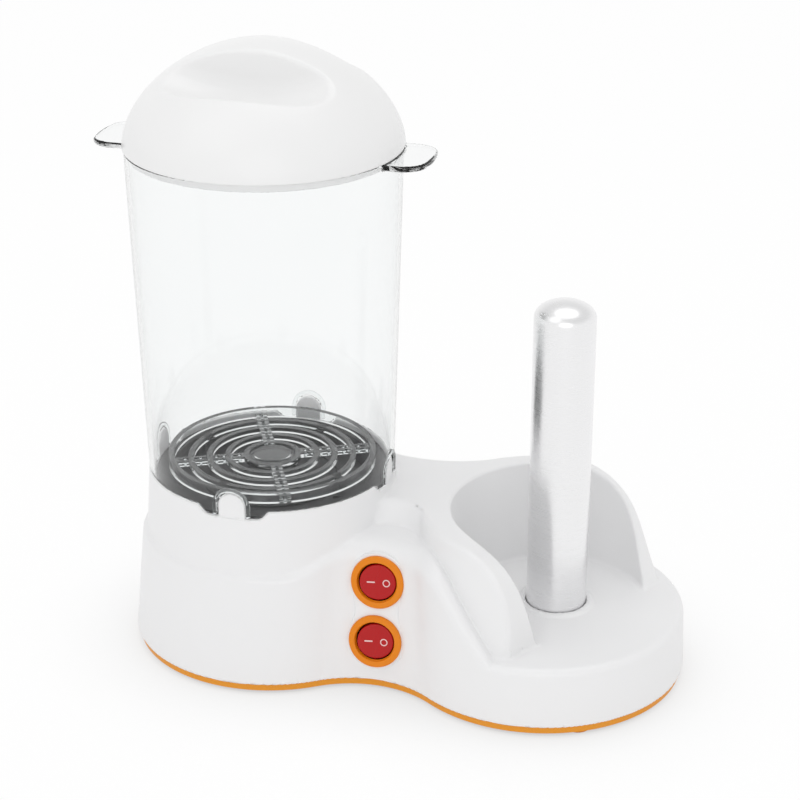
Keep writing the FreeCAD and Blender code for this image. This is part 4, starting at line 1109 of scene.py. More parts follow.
    def outside(self, x: Array, y: Array, z: Array) -> Array:
        """Distance to the closed outer form, without its openings."""
        slab, lower = self.lower_tier(x, y, z)
        r = np.hypot(x, y)
        collar = round_both(r - self.collar_r - self.collar_lean * (self.drum_top - z),
                            z - self.drum_top, self.collar_edge)
        low_collar = np.where(z < self.collar_foot, 20.0, collar)
        high = round_either(round_either(lower, low_collar, self.tier_fillet),
                            self.upper_tier(x, y, z), self.tier_fillet)
        away = np.hypot(x - self.spike_x, y)
        bay = away - self.bay_r - (self.bay_top_r - self.bay_r) * (z - self.platform_z) / (
            self.plateau_z - self.platform_z)
        high = round_off(high, bay, self.rim_edge)
        depth = -self.lobes(x, y, self.drum_r, self.lobe_r, self.flank_r, self.flank_r)
        inner = np.clip((depth - 5.0) / 4.0, 0.0, 1.0)
        body = round_either(slab, high, self.foot_fillet * inner)
        boss = round_both(away - self.boss_r + np.maximum(z - self.platform_z, 0.0),
                          np.abs(z - self.platform_z) - self.boss_h, 0.5)
        return round_either(body, boss, 0.8)

    def pad_frame(self, x: Array, y: Array, z: Array) -> tuple[Array, Array, Array]:
        """Outline of the switches' shared pad, the height over its face and the bores."""
        low, high = self.switches.seats()
        spot = np.stack([x + DRUM_X, y, z], -1)
        span = high.point - low.point
        share = np.clip((spot - low.point) @ span / (span @ span), 0.0, 1.0)
        to_line = spot - low.point - share[..., None] * span
        out = to_line @ low.axis
        flat = np.sqrt(np.maximum((to_line ** 2).sum(-1) - out ** 2, 0.0))
        discs = []
        for seat in (low, high):
            away = spot - seat.point
            discs.append(np.sqrt(np.maximum((away ** 2).sum(-1) - (away @ seat.axis) ** 2, 0.0)))
        either = np.minimum(*discs)
        eight = round_either(either - self.pad_r, flat - self.pad_waist * self.pad_r, 3.0)
        return eight, out, np.maximum(either - self.bore_r, -out - self.bore_depth)

    def pad_shape(self, wx: Array, y: Array, z: Array) -> Array:
        """Distance to the flat pad under both switches, in the object's frame."""
        eight, out, bores = self.pad_frame(wx - DRUM_X, y, z)
        half = self.pad_depth / 2
        plate = round_both(eight, np.abs(out - self.pad_proud + half) - half, self.pad_edge)
        return round_off(plate, bores, 0.3)

    def rim_marks(self, x: Array, y: Array, z: Array) -> tuple[Array, Array]:
        """Slots for the jar's tabs in the rim and the arched lugs in them, four of each."""
        steep = np.abs(y) >= np.abs(x)
        across = np.abs(np.where(steep, x, y))
        r = np.hypot(x, y)
        sides = across - self.slot_half - self.slot_lean * np.maximum(z - self.slot_z, 0.0)
        slot = np.maximum(round_both(sides, self.slot_z - z, self.slot_edge), 60.0 - r)
        arch = np.where(z < self.lug_z, across - self.lug_half,
                        np.hypot(across, z - self.lug_z) - self.lug_half)
        lug = round_both(arch, np.abs(r - self.lug_r) - 1.0, 0.5)
        return slot, np.maximum(lug, self.lug_foot - z)

    def inner_posts(self, x: Array, y: Array, z: Array) -> tuple[Array, Array]:
        """Posts for the screws inside the shell and their holes."""
        posts, holes = np.full_like(x, FAR), np.full_like(x, FAR)
        for px, py, radius, foot, top, hole_top in self.post_rows():
            r = np.hypot(x - px, y - py)
            ends = np.abs(z - (foot + top) / 2) - (top - foot) / 2
            posts = np.minimum(posts, np.maximum(r - radius, ends))
            holes = np.minimum(holes, np.maximum(r - self.screw_hole_r, z - hole_top))
        return posts, holes

    def post_rows(self) -> list[tuple[float, float, float, float, float, float]]:
        """Place, radius, foot, top and hole's top of each post."""
        fittings = BaseFittings()
        rows = [(x - DRUM_X, y, 4.4, 6.0, 28.0, 25.0) for x, y in fittings.screw_places()]
        rows += [(0.0, y, 3.4, 77.6, 94.0, 88.1) for y in fittings.strap_ys]
        rows += [(self.spike_x + d, 0.0, 4.4, 33.0, 36.5, 36.0) for d in fittings.seat_screw_ds]
        return rows

    def cord_entry(self, x: Array, y: Array, z: Array) -> tuple[Array, Array]:
        """Thick place behind the cord's bush and the stepped hole through it."""
        face = self.switches.flank(self.cord_z) - 1.5
        away = np.hypot(x - self.cord_x, z - self.cord_z)
        thick = np.maximum(away - self.cord_pad_r, np.abs(y - face + 2.5) - 2.5)
        hole = np.minimum(np.maximum(away - self.cord_bore_r, np.abs(y - face) - 15.0),
                          np.maximum(away - self.cord_head_r, np.abs(y - face - 6.0) - 6.0))
        return thick, hole

    def shape(self, wx: Array, y: Array, z: Array) -> Array:
        """Distance to the whole shell, in the object's frame."""
        x = wx - DRUM_X
        outer = self.outside(x, y, z)
        r = np.hypot(x, y)
        body = round_both(outer, self.edge_z - z, 0.8)
        body = np.maximum(body, -np.maximum(outer + self.wall, z - self.ceiling_z))
        body = round_off(body, np.maximum(r - self.recess_r, self.recess_z - z), 0.6)
        body = np.maximum(body, -np.maximum(r - self.shelf_r, np.abs(z - self.shelf_z) - 4.0))
        slot, lug = self.rim_marks(x, y, z)
        body = np.minimum(round_off(body, slot, 0.6), lug)
        posts, holes = self.inner_posts(x, y, z)
        thick, entry = self.cord_entry(x, y, z)
        body = np.minimum(np.minimum(body, posts), thick)
        bores = self.pad_frame(x, y, z)[2]
        spike = np.maximum(np.hypot(x - self.spike_x, y) - self.spike_bore_r,
                           np.abs(z - self.spike_bore_z) - 6.0)
        holes = np.minimum(np.minimum(holes, bores), np.minimum(entry, spike))
        return round_off(body, holes, 0.3)

    def build(self, shop: Workshop) -> None:
        """Make the shell and let it stand for the solid housing."""
        self.arch = ArchTable(self.arch_front, self.arch_rear, self.bay_turn,
                              self.bay_r + 2 * self.wall)
        low = (DRUM_X - self.drum_r - 3, -self.lobe_r - 3, self.edge_z - 3)
        high = (DRUM_X + self.pitch + self.lobe_r + 3, self.lobe_r + 3, 115.0)
        piece = moulded("housing_shell", self.shape, low, high, self.step, self.triangles)
        shop.fit(piece, "base", "white_shell", WHITE_SHELL, "housing")
        seats = [seat.point for seat in self.switches.seats()]
        margin = self.pad_r + 3.0
        pad = moulded("switch_pad", self.pad_shape, tuple(np.min(seats, 0) - margin),
                      tuple(np.max(seats, 0) + margin), 0.6, 30000)
        shop.fit(pad, "base", "white_shell", WHITE_SHELL)


class ArchTable:
    """Distance to the arched ends of the bay wall, a curve that changes across the bay."""

    def __init__(self, front: tuple, rear: tuple, turn: float, spread: float) -> None:
        """Sample the curve for many places across the bay.

        Args:
            front: points of the curve at the front end, along and up.
            rear: points of the curve at the rear end.
            turn: direction of the opening in degrees.
            spread: distance of both ends from the middle.
        """
        self.turn = math.radians(turn)
        self.spread = spread
        self.shares = np.linspace(-1.4, 2.4, 96)
        self.alongs = np.linspace(-150.0, 90.0, 961)
        self.heights = np.linspace(-30.0, front[0][1], 431)
        self.up = np.empty((len(self.shares), len(self.alongs)))
        self.out = np.empty((len(self.shares), len(self.heights)))
        for i, share in enumerate(self.shares):
            points = (1 - share) * np.array(front) + share * np.array(rear)
            t, z = self.curve(points).T
            z = np.minimum.accumulate(z)
            self.up[i] = np.interp(self.alongs, t, z, left=front[0][1], right=-60.0)
            self.out[i] = np.interp(self.heights, z[::-1], t[::-1])

    @staticmethod
    def curve(points: Array, steps: int = 40) -> Array:
        """Smooth curve through four points that starts level.

        Args:
            points: the four points, along and up.
            steps: samples in each span.

        Returns:
            Samples of the curve.
        """
        chord = np.linalg.norm(np.diff(points, axis=0), axis=1)
        knots = np.concatenate([[0.0], np.cumsum(chord)])
        system = np.zeros((4, 4))
        right = np.zeros((4, 2))
        system[0, 0] = 1.0
        right[0] = (1.0, 0.0)
        for i in (1, 2):
            a, b = chord[i - 1], chord[i]
            system[i, i - 1], system[i, i], system[i, i + 1] = b, 2 * (a + b), a
            right[i] = 3 * (b / a * (points[i] - points[i - 1])
                            + a / b * (points[i + 1] - points[i]))
        system[3, 2], system[3, 3] = 1.0, 2.0
        right[3] = 3 * (points[3] - points[2]) / chord[2]
        slopes = np.linalg.solve(system, right)
        out = []
        for i in range(3):
            s = np.linspace(0.0, 1.0, steps)[:, None]
            gap = knots[i + 1] - knots[i]
            out.append((2 * s ** 3 - 3 * s ** 2 + 1) * points[i]
                       + (s ** 3 - 2 * s ** 2 + s) * gap * slopes[i]
                       + (3 * s ** 2 - 2 * s ** 3) * points[i + 1]
                       + (s ** 3 - s ** 2) * gap * slopes[i + 1])
        return np.concatenate(out)

    @staticmethod
    def index(values: Array, at: Array) -> Array:
        """Where a value lies among evenly spaced ones, with its fraction."""
        return (at - values[0]) / (values[-1] - values[0]) * (len(values) - 1)

    @staticmethod
    def read(table: Array, row: Array, column: Array) -> Array:
        """Values between a table's entries."""
        row = np.clip(row, 0.0, table.shape[0] - 1.001)
        column = np.clip(column, 0.0, table.shape[1] - 1.001)
        i, j = row.astype(int), column.astype(int)
        u, v = row - i, column - j
        return ((1 - u) * (1 - v) * table[i, j] + u * (1 - v) * table[i + 1, j]
                + (1 - u) * v * table[i, j + 1] + u * v * table[i + 1, j + 1])

    def distance(self, x: Array, y: Array, z: Array) -> Array:
        """Distance to the curve's underside, from the spike's axis and the platform."""
        along = x * math.cos(self.turn) + y * math.sin(self.turn)
        across = -x * math.sin(self.turn) + y * math.cos(self.turn)
        row = self.index(self.shares, (across / self.spread + 1) / 2)
        up = z - self.read(self.up, row, self.index(self.alongs, along))
        out = along - self.read(self.out, row, self.index(self.heights, z))
        out = np.where(z > self.heights[-1], 10 * FAR, out)
        size = np.abs(up * out) / np.maximum(np.hypot(up, out), 1e-6)
        return np.where(up > 0, size, -size)


# ---- base, feet and screws ------------------------------------------------------

@dataclass
class BaseFittings:
    """Base plate, its feet and every screw."""

    foot_r: float = 7.0
    foot_h: float = 2.8
    foot_round: float = 0.9
    dish: float = 0.35
    foot_places: tuple = ((183.8, -59.7), (183.8, 59.7), (-34.0, -52.0), (-34.0, 52.0))
    drum_angles: tuple = (100.0, 180.0, 260.0)
    drum_circle: float = 71.0
    lobe_angles: tuple = (-85.0, 0.0, 85.0)
    lobe_circle: float = 72.0
    lobe_x: float = 150.0
    spike_x: float = 159.0
    strap_ys: tuple = (-59.4, 59.4)
    seat_screw_ds: tuple = (-32.0, 32.0)
    head_r: float = 2.9
    head_h: float = 1.6
    head_lean: float = 0.32
    shaft_r: float = 1.3
    thread: float = 0.12
    pitch: float = 1.1
    arm_reach: float = 1.75
    arm_half: float = 0.38

    def screw_places(self) -> list[tuple[float, float]]:
        """Places of the six base screws, in the object's frame."""
        out = []
        for x, radius, angles in ((DRUM_X, self.drum_circle, self.drum_angles),
                                  (DRUM_X + self.lobe_x, self.lobe_circle, self.lobe_angles)):
            for angle in angles:
                turn = math.radians(angle)
                out.append((x + radius * math.cos(turn), radius * math.sin(turn)))
        return out

    def foot(self) -> bpy.types.Object:
        """Template of a foot: a disc with rounded lower edge and a shallow dished sole."""
        profile = [(self.foot_r * 0.55, self.dish), (self.foot_r * 0.62, 0.12),
                   (self.foot_r * 0.74, 0.0)]
        profile += corner_arc((self.foot_r - self.foot_round, self.foot_round), self.foot_round,
                              -90, 0)
        profile += [(self.foot_r, self.foot_h - 0.3), (self.foot_r - 0.3, self.foot_h)]
        return turned_piece("foot_template", profile, columns=48)

    def screw(self, length: float) -> bpy.types.Object:
        """Template of a pan-head screw that points up, with a cross recess below.

        Args:
            length: its shaft's length above the head.

        Returns:
            The template, its head's upper face at the origin.
        """
        def shape(x: Array, y: Array, z: Array) -> Array:
            r = np.hypot(x, y)
            half = self.head_h / 2
            head = round_both(r - self.head_r - self.head_lean * np.minimum(z, 0.0),
                              np.abs(z + half) - half, 0.35)
            turns = z / self.pitch - np.arctan2(y, x) / (2 * math.pi)
            thread = self.thread * np.cos(2 * math.pi * turns)
            shaft = np.maximum(r - self.shaft_r + self.thread - thread,
                               np.abs(z - length / 2) - length / 2)
            ax, ay = np.abs(x), np.abs(y)
            arms = np.minimum(np.maximum(ax - self.arm_reach, ay - self.arm_half),
                              np.maximum(ay - self.arm_reach, ax - self.arm_half))
            recess = np.maximum(arms + 0.35 * (z + self.head_h), z + 0.5)
            return np.minimum(np.maximum(head, -recess), shaft)

        reach = self.head_r + 0.6
        return moulded("screw_template", shape, (-reach, -reach, -2.2),
                       (reach, reach, length + 0.6), 0.22, 3400)

    def build(self, shop: Workshop, repeats: Repeats) -> None:
        """Make feet and screws and dress the base plate."""
        shop.dress_node("base_plate", ORANGE_BASE)
        foot = self.foot()
        feet = repeats.run("rubber_feet", [(DRUM_X + x, y, 0.0) for x, y in self.foot_places],
                           [], repeats.copies, {"Template": foot, "Turn Between": 0.0},
                           ORANGE_FEET)
        drop(foot)
        shop.fit(feet, "base", "orange_feet", None, "feet")
        rows = (("base_plate_screws", 19.0, self.screw_places(), "base_screws"),
                ("pan_strap_screws", 10.0, [(DRUM_X, y) for y in self.strap_ys], "strap_screws"),
                ("seat_plate_screws", 5.0, [(DRUM_X + self.spike_x + d, 0.0)
                                            for d in self.seat_screw_ds], "spike_seat_screws"))
        for name, length, places, node in rows:
            low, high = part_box(node)
            head_z = low.z / MM + self.head_h
            template = self.screw(min(length, high.z / MM - head_z))
            screws = repeats.run(name, [(x, y, head_z) for x, y in places], [], repeats.copies,
                                 {"Template": template, "Turn Between": 0.7}, ZINC_SCREW)
            drop(template)
            shop.fit(screws, "base", "zinc_screw", None, node)


# ---- jar, rack and lid ----------------------------------------------------------

@dataclass
class Jar:
    """Clear jar with moulded rims round its four notches."""

    seat_r: float = 66.4
    rim_r: float = 71.6
    seat_z: float = 102.4
    top_z: float = 280.0
    notch_half: float = 9.1
    notch_top: float = 114.2
    bead_r: float = 1.15
    soft_edge: float = 0.5
    wall: float = 2.2
    notch_r: float = 7.8
    notch_z: float = 104.6
    rim_foot: float = 99.6
    rim_bend: float = 102.0
    rim_sunk: float = 0.1
    tab_half: float = 14.5
    tab_drop: float = 3.9
    tab_lean: float = 1.026
    ear_reach: float = 89.8
    ear_half: float = 21.0
    ear_crown: float = 60.0
    ear_corner: float = 9.0
    ear_t: float = 3.0
    ear_edge: float = 1.2
    step: float = 1.4
    triangles: int = 196000

    def radius(self, z: Array) -> Array:
        """Outer radius of the jar at a height."""
        return self.seat_r + (self.rim_r - self.seat_r) * (z - self.seat_z) / (
            self.top_z - self.seat_z)

    def shape(self, wx: Array, y: Array, z: Array) -> Array:
        """Distance to the jar with its ears, tabs and notches, in the object's frame."""
        x = wx - DRUM_X
        r = np.hypot(x, y)
        steep = np.abs(y) >= np.abs(x)
        across = np.abs(np.where(steep, x, y))
        skin = self.radius(z) - self.wall / 2
        tab_z = self.seat_z - self.tab_drop
        tab = np.maximum(across - self.tab_half - self.tab_lean * np.maximum(z - tab_z, 0.0),
                         tab_z - z)
        low = round_either(self.seat_z - z, tab, 1.2)
        body = round_both(np.abs(r - skin) - self.wall / 2, low, self.soft_edge)
        body = round_both(body, z - self.top_z, self.soft_edge)
        crown = np.hypot(np.abs(x) - self.ear_reach + self.ear_crown, y) - self.ear_crown
        plan = round_both(np.abs(y) - self.ear_half, crown, self.ear_corner)
        ear = round_both(plan, np.abs(z - self.top_z + self.ear_t / 2) - self.ear_t / 2,
                         self.ear_edge)
        ear = np.maximum(ear, np.maximum(skin - r, 30.0 - np.abs(x)))
        body = round_either(body, ear, 0.7)
        arch = np.where(z < self.notch_z, across - self.notch_r,
                        np.hypot(across, z - self.notch_z) - self.notch_r)
        return round_off(body, arch, self.soft_edge)

    def build(self, shop: Workshop, repeats: Repeats) -> None:
        """Mould the jar with soft edges and sweep a rim round each notch."""
        reach = self.ear_reach + 2
        low = (DRUM_X - reach, -self.rim_r - 2, self.seat_z - 6)
        high = (DRUM_X + reach, self.rim_r + 2, self.top_z + 2)
        jar = moulded("jar_body", self.shape, low, high, self.step, self.triangles)
        shop.fit(jar, "jar", "clear_jar", CLEAR_JAR, "jar")
        points, edges = [], []
        shoulder = self.notch_top - self.notch_half
        arc = [(math.cos(t) * self.notch_half, shoulder + math.sin(t) * self.notch_half)
               for t in np.linspace(0.0, math.pi, 25)]
        legs = [(self.notch_half, self.rim_foot), (self.notch_half, self.rim_bend)]
        path = legs + arc + [(-across, z) for across, z in reversed(legs)]
        for quarter in range(4):
            middle = math.radians(-90.0 + 90.0 * quarter)
            start = len(points)
            for across, z in path:
                r = float(self.radius(np.array(z))) - self.rim_sunk
                turn = middle + math.asin(across / r)
                points.append((DRUM_X + r * math.cos(turn), r * math.sin(turn), z))
            edges += [(start + i, start + i + 1) for i in range(len(path) - 1)]
        rims = repeats.run("jar_notch_rims", points, edges, repeats.bead,
                           {"Bead Radius": self.bead_r * MM, "Sides": 14}, CLEAR_RACK)
        shop.fit(rims, "jar", "clear_jar", None)


@dataclass
class Rack:
    """Clear rack with ladder ribs between its rings; the rung's size is in metres."""

    z: float = 103.0
    lift: float = 1.6
    first_turn: float = -64.0
    rungs: int = 9
    first_r: float = 18.0
    spacing: float = 4.2
    rows: int = 4
    rung: tuple = (0.0012, 0.0062, 0.0022)

    def build(self, shop: Workshop, repeats: Repeats) -> None:
        """Dress the rack and lay the rungs across its four ribs."""
        shop.dress_node("steam_rack", CLEAR_RACK)
        sizes = {"Rungs": self.rungs, "Inner Radius": self.first_r * MM,
                 "Spacing": self.spacing * MM, "Rows": self.rows,
                 "First Turn": math.radians(self.first_turn), "Rung Size": self.rung,
                 "Centre": (DRUM_X * MM, 0.0, (self.z + self.lift) * MM)}
        ribs = repeats.run("rack_rungs", [(DRUM_X, 0.0, self.z)], [], repeats.ladder, sizes,
                           CLEAR_RACK)
        shop.fit(ribs, "rack", "clear_rack", None)


@dataclass
class Lid:
    """White dome with a grip bar between two finger hollows."""

    radius: float = 72.4
    height: float = 54.0
    power: float = 1.8
    seat_z: float = 280.0
    wall: float = 2.4
    lip_r: float = 68.88
    lip_t: float = 2.0
    lip_h: float = 4.0
    lip_edge: float = 0.6
    grip_half: float = 15.2
    scoop_l: float = 61.7
    scoop_r: float = 23.5
    scoop_y: float = 30.9
    scoop_drop: float = 2.9
    rim_edge: float = 1.2
    bar_edge: float = 2.2
    bar_foot: float = 3.0
    step: float = 1.0
    triangles: int = 150000

    def dome(self, r: Array, z: Array) -> Array:
        """Distance to the plain dome, from its axis and its seat."""
        a = np.maximum(r, 1e-3) / self.radius
        b = np.maximum(z, 1e-3) / self.height
        n = self.power
        total = (a ** n + b ** n) ** (1 / n)
        slope_r = (a / total) ** (n - 1) / self.radius
        slope_z = (b / total) ** (n - 1) / self.height
        return (total - 1) / np.hypot(slope_r, slope_z)

    def outside(self, x: Array, y: Array, z: Array) -> Array:
        """Distance to the dome with its two hollows, without its underside."""
        body = self.dome(np.hypot(x, y), z)
        side = np.abs(y)
        p = (x / self.scoop_l, (side - self.scoop_y) / self.scoop_r,
             (z - self.height + self.scoop_drop) / self.scoop_r)
        near = np.sqrt(p[0] ** 2 + p[1] ** 2 + p[2] ** 2)
        slope = np.sqrt((p[0] / self.scoop_l) ** 2 + (p[1] / self.scoop_r) ** 2
                        + (p[2] / self.scoop_r) ** 2)
        ball = near * (near - 1) / np.maximum(slope, 1e-6)
        hollow = round_both(ball, self.grip_half - side, self.bar_foot)
        return round_off(body, hollow, self.bar_edge)

    def shape(self, wx: Array, y: Array, wz: Array) -> Array:
        """Distance to the whole lid, in the object's frame."""
        x, z = wx - DRUM_X, wz - self.seat_z
        r = np.hypot(x, y)
        outer = self.outside(x, y, z)
        body = round_both(outer, -z, self.rim_edge)
        body = np.maximum(body, -np.maximum(outer + self.wall, self.wall - z))
        lip = round_both(np.abs(r - self.lip_r + self.lip_t / 2) - self.lip_t / 2,
                         np.abs(z) - self.lip_h, self.lip_edge)
        lip = np.maximum(lip, z - 1.0)
        opening = np.maximum(r - self.lip_r + self.lip_t, np.abs(z) - self.wall - 0.6)
        return np.minimum(np.maximum(body, -opening), lip)

    def build(self, shop: Workshop) -> None:
        """Make the lid and let it stand for the solid one."""
        reach = self.radius + 3
        low = (DRUM_X - reach, -reach, self.seat_z - self.lip_h - 2)
        high = (DRUM_X + reach, reach, self.seat_z + self.height + 2)
        piece = moulded("lid_dome", self.shape, low, high, self.step, self.triangles)
        shop.fit(piece, "lid", "white_lid", WHITE_LID, "lid")


# ---- switches -------------------------------------------------------------------

class Tier(enum.Enum):
    """The two switches by their place on the panel."""

    LOWER = "lower"
    UPPER = "upper"


@dataclass
class Switch:
    """Round switch: orange ring, red rocker with its marks, barrel, lamp and blades."""

    tier: Tier
    seat: Seat
    ring_r: float = 14.4
    bore_r: float = 10.4
    ring_t: float = 2.4
    rocker_r: float = 9.7
    top: float = 1.0
    bottom: float = -3.4
    tilt: float = 7.0
    pivot: float = -1.5
    pin_r: float = 1.2
    pin_half: float = 11.7
    mark_proud: float = 0.12
    bar_x: float = -3.7
    bar_half: float = 0.37
    bar_reach: float = 2.15
    ring_x: float = 4.5
    ring_mark_r: float = 2.0
    ring_mark_bore: float = 1.45
    valley: float = 1.6
    crown_edge: float = 1.3
    bore_edge: float = 0.7

    def name(self, part: str) -> str:
        """Name of one of this switch's parts."""
        return self.tier.value + "_" + part

    def ring(self, shop: Workshop) -> None:
        """Orange ring with a rounded crown and a stepped bore."""
        profile = [(self.bore_r, 0.0), (self.ring_r, 0.0)]
        profile += corner_arc((self.ring_r - self.crown_edge, self.ring_t - self.crown_edge),
                              self.crown_edge, 0, 80, 8)
        profile += [(self.ring_r - 2.0, self.ring_t)]
        profile += corner_arc((self.bore_r + 1.1, self.ring_t - self.bore_edge),
                              self.bore_edge, 90, 180)
        profile += [(self.bore_r + 0.4, 0.9), (self.bore_r, 0.8)]
        ring = turned_piece(self.name("ring"), profile, self.seat, 128, closed_profile=True)
        shop.fit(ring, "base", "orange_ring", ORANGE_RING, self.name("switch_bezel"))

    def tilted(self) -> Seat:
        """Seat turned with the rocker about its pin."""
        turn = math.radians(self.tilt)
        lean = self.seat.side * math.sin(turn) * self.lean_sign()
        axis = self.seat.axis * math.cos(turn) + lean
        pin = self.seat.point + self.seat.axis * self.pivot
        return Seat(pin, axis, self.seat.up)

    def lean_sign(self) -> float:
        """Which way the rocker's axis leans so that its +X side is pressed."""
        return 1.0 if self.seat.side[0] > 0 else -1.0

    def crown(self, s: Array) -> Array:
        """Height of the rocker's two facets at a place across, with a soft valley."""
        slope = math.tan(math.radians(self.tilt))
        return self.top + slope * (np.sqrt(s * s + self.valley) - 1.0)

    def rocker(self, shop: Workshop) -> None:
        """Red rocker with two facets, a soft valley and rounded edges."""
        seat = self.tilted()
        steep = math.hypot(1.0, math.tan(math.radians(self.tilt)))

        def shape(x: Array, y: Array, z: Array) -> Array:
            spot = np.stack([x, y, z], -1) - seat.point
            s, n, v = spot @ seat.side, spot @ seat.axis + self.pivot, spot @ seat.up
            disc = np.hypot(s, v) - self.rocker_r
            body = round_both(disc, (n - self.crown(s)) / steep, 0.9)
            body = round_both(body, self.bottom - n, 0.4)
            pin = np.maximum(np.hypot(s, n - self.pivot) - self.pin_r, np.abs(v) - self.pin_half)
            return np.minimum(body, pin)

        reach = 13.0
        rocker = moulded(self.name("rocker_cap"), shape, tuple(seat.point - reach),
                         tuple(seat.point + reach), 0.42, 16000)
        shop.fit(rocker, self.name("rocker"), "rocker_red", ROCKER_RED, self.name("rocker"))

    def marks(self, shop: Workshop) -> None:
        """White line and ring printed on the two facets."""
        seat = self.tilted()
        sign = self.lean_sign()

        def facet(points: Sequence[tuple[float, float]], lift: float) -> Array:
            rows = []
            for s, v in points:
                n = self.crown(s) + lift - self.pivot
                rows.append(seat.point + seat.side * s * sign + seat.up * v + seat.axis * n)
            return np.array(rows)

        points, faces = [], []

        def slab(outline: Sequence[tuple[float, float]],
                 hole: Optional[Sequence[tuple[float, float]]] = None) -> None:
            start = len(points)
            count = len(outline)
            loops = [facet(outline, self.mark_proud), facet(outline, -0.3)]
            if hole is not None:
                loops += [facet(hole, -0.3), facet(hole, self.mark_proud)]
            for loop in loops:
                points.extend(loop)
            for ring in range(len(loops) if hole is not None else 1):
                after = (ring + 1) % len(loops)
                for i in range(count):
                    j = (i + 1) % count
                    faces.append([start + ring * count + i, start + ring * count + j,
                                  start + after * count + j, start + after * count + i])
            if hole is None:
                faces.append([start + i for i in range(count)])
                faces.append([start + count + i for i in reversed(range(count))])

        slab([(self.bar_x + v, dx) for dx, v in self.bar_outline(self.bar_half, self.bar_reach)])
        slab(*[[(self.ring_x + r * math.cos(t), r * math.sin(t))
                for t in np.linspace(0, 2 * math.pi, 40, endpoint=False)]
               for r in (self.ring_mark_r, self.ring_mark_bore)])
        piece = outward(mesh_piece(self.name("rocker_marks"), np.array(points), faces, False))
        shop.fit(piece, self.name("rocker"), "white_shell", MARK_WHITE)

    @staticmethod
    def bar_outline(half: float, reach: float) -> list[tuple[float, float]]:
        """Outline of a bar with round ends."""
        top = [(half * math.cos(t), reach - half + half * math.sin(t))
               for t in np.linspace(0, math.pi, 9)]
        return top + [(-x, -v) for x, v in top]

    def build(self, shop: Workshop) -> None:
        """Make the ring, the rocker and its marks and dress what is behind them."""
        self.ring(shop)
        self.rocker(shop)
        self.marks(shop)
        shop.dress_node(self.name("switch_body"), SWITCH_BLACK)
        shop.dress_node(self.name("switch_lamp"), LAMP_AMBER)
        shop.dress_node(self.name("switch_blades"), TERMINAL_BRASS)


# ---- heat and supply ------------------------------------------------------------

@dataclass
class Inside:
    """Solids that stay as they are, each with the finish of its material."""

    finishes: tuple = (
        ("heating_pan", DARK_PAN), ("pan_gasket", GREY_SILICONE), ("heating_plate", CAST_PLATE),
        ("heating_coil", HEATER_SHEATH), ("pan_strap", STRAP_STEEL), ("strap_nut", ZINC_NUT),
        ("pan_thermostat", SENSOR_BLACK), ("thermal_fuse", FUSE_CLIP),
        ("spike_tube", SPIKE_STEEL), ("spike_gasket", GREY_SILICONE),
        ("spike_seat", BLACK_SEAT), ("spike_heater", HEATER_SHEATH),
        ("spike_spacers", CERAMIC_DISC), ("spike_thermostat", SENSOR_BLACK),
        ("cord_gland", BLACK_GLAND), ("terminal_block", TERMINAL_CREAM),
        ("clamp_screws", ZINC_SCREW))

    def build(self, shop: Workshop) -> None:
        """Dress them all."""
        for node, finish in self.finishes:
            shop.dress_node(node, finish)


# ---- studio ---------------------------------------------------------------------

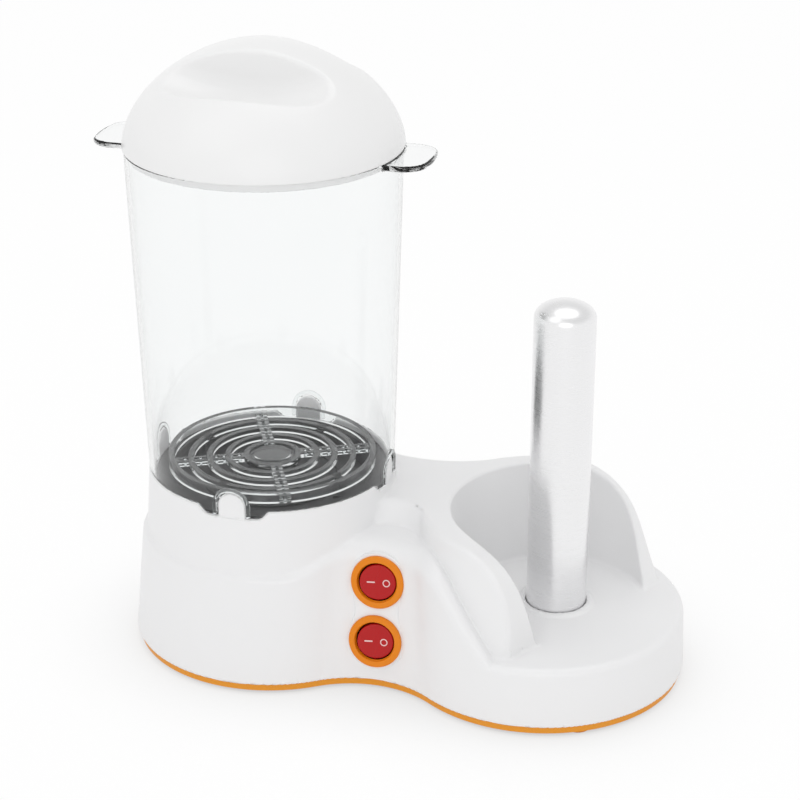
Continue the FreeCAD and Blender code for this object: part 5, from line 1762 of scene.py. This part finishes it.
@dataclass
class Studio:
    """Pale floor, soft lamps, white surroundings and the camera."""

    eye: tuple = (0.27689, -0.97564, 0.59124)
    turn: tuple = (66.256, 0.0, 15.7)
    lens: float = 94.5
    floor_tone: float = 0.97
    floor_share: float = 0.92
    # Painted contact shadow on the floor: how deep it is, how far it reaches and how it falls
    # off.
    shade: float = 0.42
    shade_reach: float = 0.07
    shade_power: float = 1.5
    floor_half: float = 6.0
    sky: float = 0.8
    sky_low: float = 0.2
    sky_high: float = 0.6
    lamps: tuple = (("key", (-0.9, -1.1, 1.9), 1.8, 3.5), ("front", (0.5, -1.8, 0.8), 1.6, 4.0),
                    ("top", (0.1, 0.3, 2.2), 1.8, 6.0))

    def camera(self) -> None:
        """Place the camera and make it the scene's own."""
        data = bpy.data.cameras.new("camera")
        data.lens = self.lens
        data.sensor_width = 36.0
        data.clip_start = 0.01
        view = bpy.data.objects.new("camera", data)
        view.location = self.eye
        view.rotation_euler = [math.radians(t) for t in self.turn]
        bpy.context.scene.collection.objects.link(view)
        bpy.context.scene.camera = view

    def light(self) -> None:
        """Hang the lamps, each turned to the object's middle."""
        for name, place, size, power in self.lamps:
            data = bpy.data.lights.new(name, "AREA")
            data.shape = "DISK"
            data.size = size
            data.energy = power
            lamp = bpy.data.objects.new(name, data)
            lamp.location = place
            towards = Vector((0.0, 0.0, 0.12)) - Vector(place)
            lamp.rotation_euler = towards.to_track_quat("-Z", "Y").to_euler()
            bpy.context.scene.collection.objects.link(lamp)

    @staticmethod
    def seen_directly(sheet: NodeSheet) -> bpy.types.NodeSocket:
        """1 for rays from the eye, in a reflection or through something clear."""
        rays = sheet.node("ShaderNodeLightPath")
        some = sheet.calc("MAXIMUM", rays.outputs["Is Camera Ray"], rays.outputs["Is Glossy Ray"])
        return sheet.calc("MAXIMUM", some, rays.outputs["Is Transmission Ray"])

    def world(self) -> None:
        """White surroundings that light the object softly."""
        world = bpy.data.worlds.new("studio")
        world.use_nodes = True
        bpy.context.scene.world = world
        sheet = NodeSheet(world.node_tree)
        back = world.node_tree.nodes["Background"]
        back.inputs["Color"].default_value = (1, 1, 1, 1)
        spot = sheet.node("ShaderNodeTexCoord").outputs["Generated"]
        height = sheet.node("ShaderNodeSeparateXYZ", {0: spot}).outputs["Z"]
        low = sheet.node("ShaderNodeMapRange", {"Value": height, "From Min": self.sky_low,
                                                "From Max": self.sky_high, "To Min": 1.0,
                                                "To Max": 0.0}).outputs[0]
        rays = sheet.node("ShaderNodeLightPath")
        shown = sheet.calc("MAXIMUM", rays.outputs["Is Glossy Ray"],
                          rays.outputs["Is Transmission Ray"])
        seen = sheet.calc("MAXIMUM", rays.outputs["Is Camera Ray"],
                         sheet.calc("MULTIPLY", shown, low))
        strength = sheet.calc("MULTIPLY_ADD", seen, 1.0 - self.sky, self.sky)
        world.node_tree.links.new(strength, back.inputs["Strength"])

    def floor(self) -> None:
        """Pale floor: its paper part keeps the lamps' real shadow, and its glow is darkened near
        the object as a painted contact shadow.
        """
        work = bmesh.new()
        bmesh.ops.create_grid(work, x_segments=24, y_segments=24, size=self.floor_half)
        mesh = bpy.data.meshes.new("floor")
        work.to_mesh(mesh)
        work.free()
        floor = bpy.data.objects.new("floor", mesh)
        bpy.context.scene.collection.objects.link(floor)
        made = bpy.data.materials.new("floor_paper")
        made.use_nodes = True
        sheet = NodeSheet(made.node_tree)
        tree = made.node_tree
        tree.nodes.remove(tree.nodes["Principled BSDF"])
        paper = sheet.node("ShaderNodeBsdfDiffuse", {"Color": (*[self.floor_tone] * 3, 1)})
        # Painted contact shadow: the glow is dimmed where ambient occlusion finds the object
        # near.
        near = sheet.node("ShaderNodeAmbientOcclusion", {"Distance": self.shade_reach})
        painted_shadow_cover = sheet.calc("SUBTRACT", 1.0, near.outputs["AO"])
        tone = sheet.calc("MULTIPLY_ADD", sheet.calc("POWER", painted_shadow_cover, self.shade_power),
                          -self.shade, 1.0)
        glow = sheet.node("ShaderNodeEmission", {"Color": (1, 1, 1, 1), "Strength": tone})
        share = sheet.calc("MULTIPLY", self.seen_directly(sheet), self.floor_share)
        mix = sheet.node("ShaderNodeMixShader", {0: share, 1: paper.outputs[0],
                                                 2: glow.outputs[0]})
        tree.links.new(mix.outputs[0], tree.nodes["Material Output"].inputs["Surface"])
        mesh.materials.append(made)

    def build(self) -> None:
        """Set up the whole studio."""
        self.camera()
        self.light()
        self.world()
        self.floor()
        bpy.context.scene.view_settings.view_transform = "Standard"


def main() -> None:
    """Build the toaster piece by piece and set up the studio."""
    logging.basicConfig(level=logging.INFO, format="%(name)s: %(message)s")
    shop = Workshop()
    repeats = Repeats(shop)
    Studio().build()
    housing = Housing()
    housing.build(shop)
    BaseFittings().build(shop, repeats)
    Jar().build(shop, repeats)
    Rack().build(shop, repeats)
    Lid().build(shop)
    for tier, seat in zip(Tier, housing.switches.seats()):
        Switch(tier, seat).build(shop)
    Inside().build(shop)
    LOG.info("%d pieces made", shop.count)


if __name__ == "__main__":
    main()
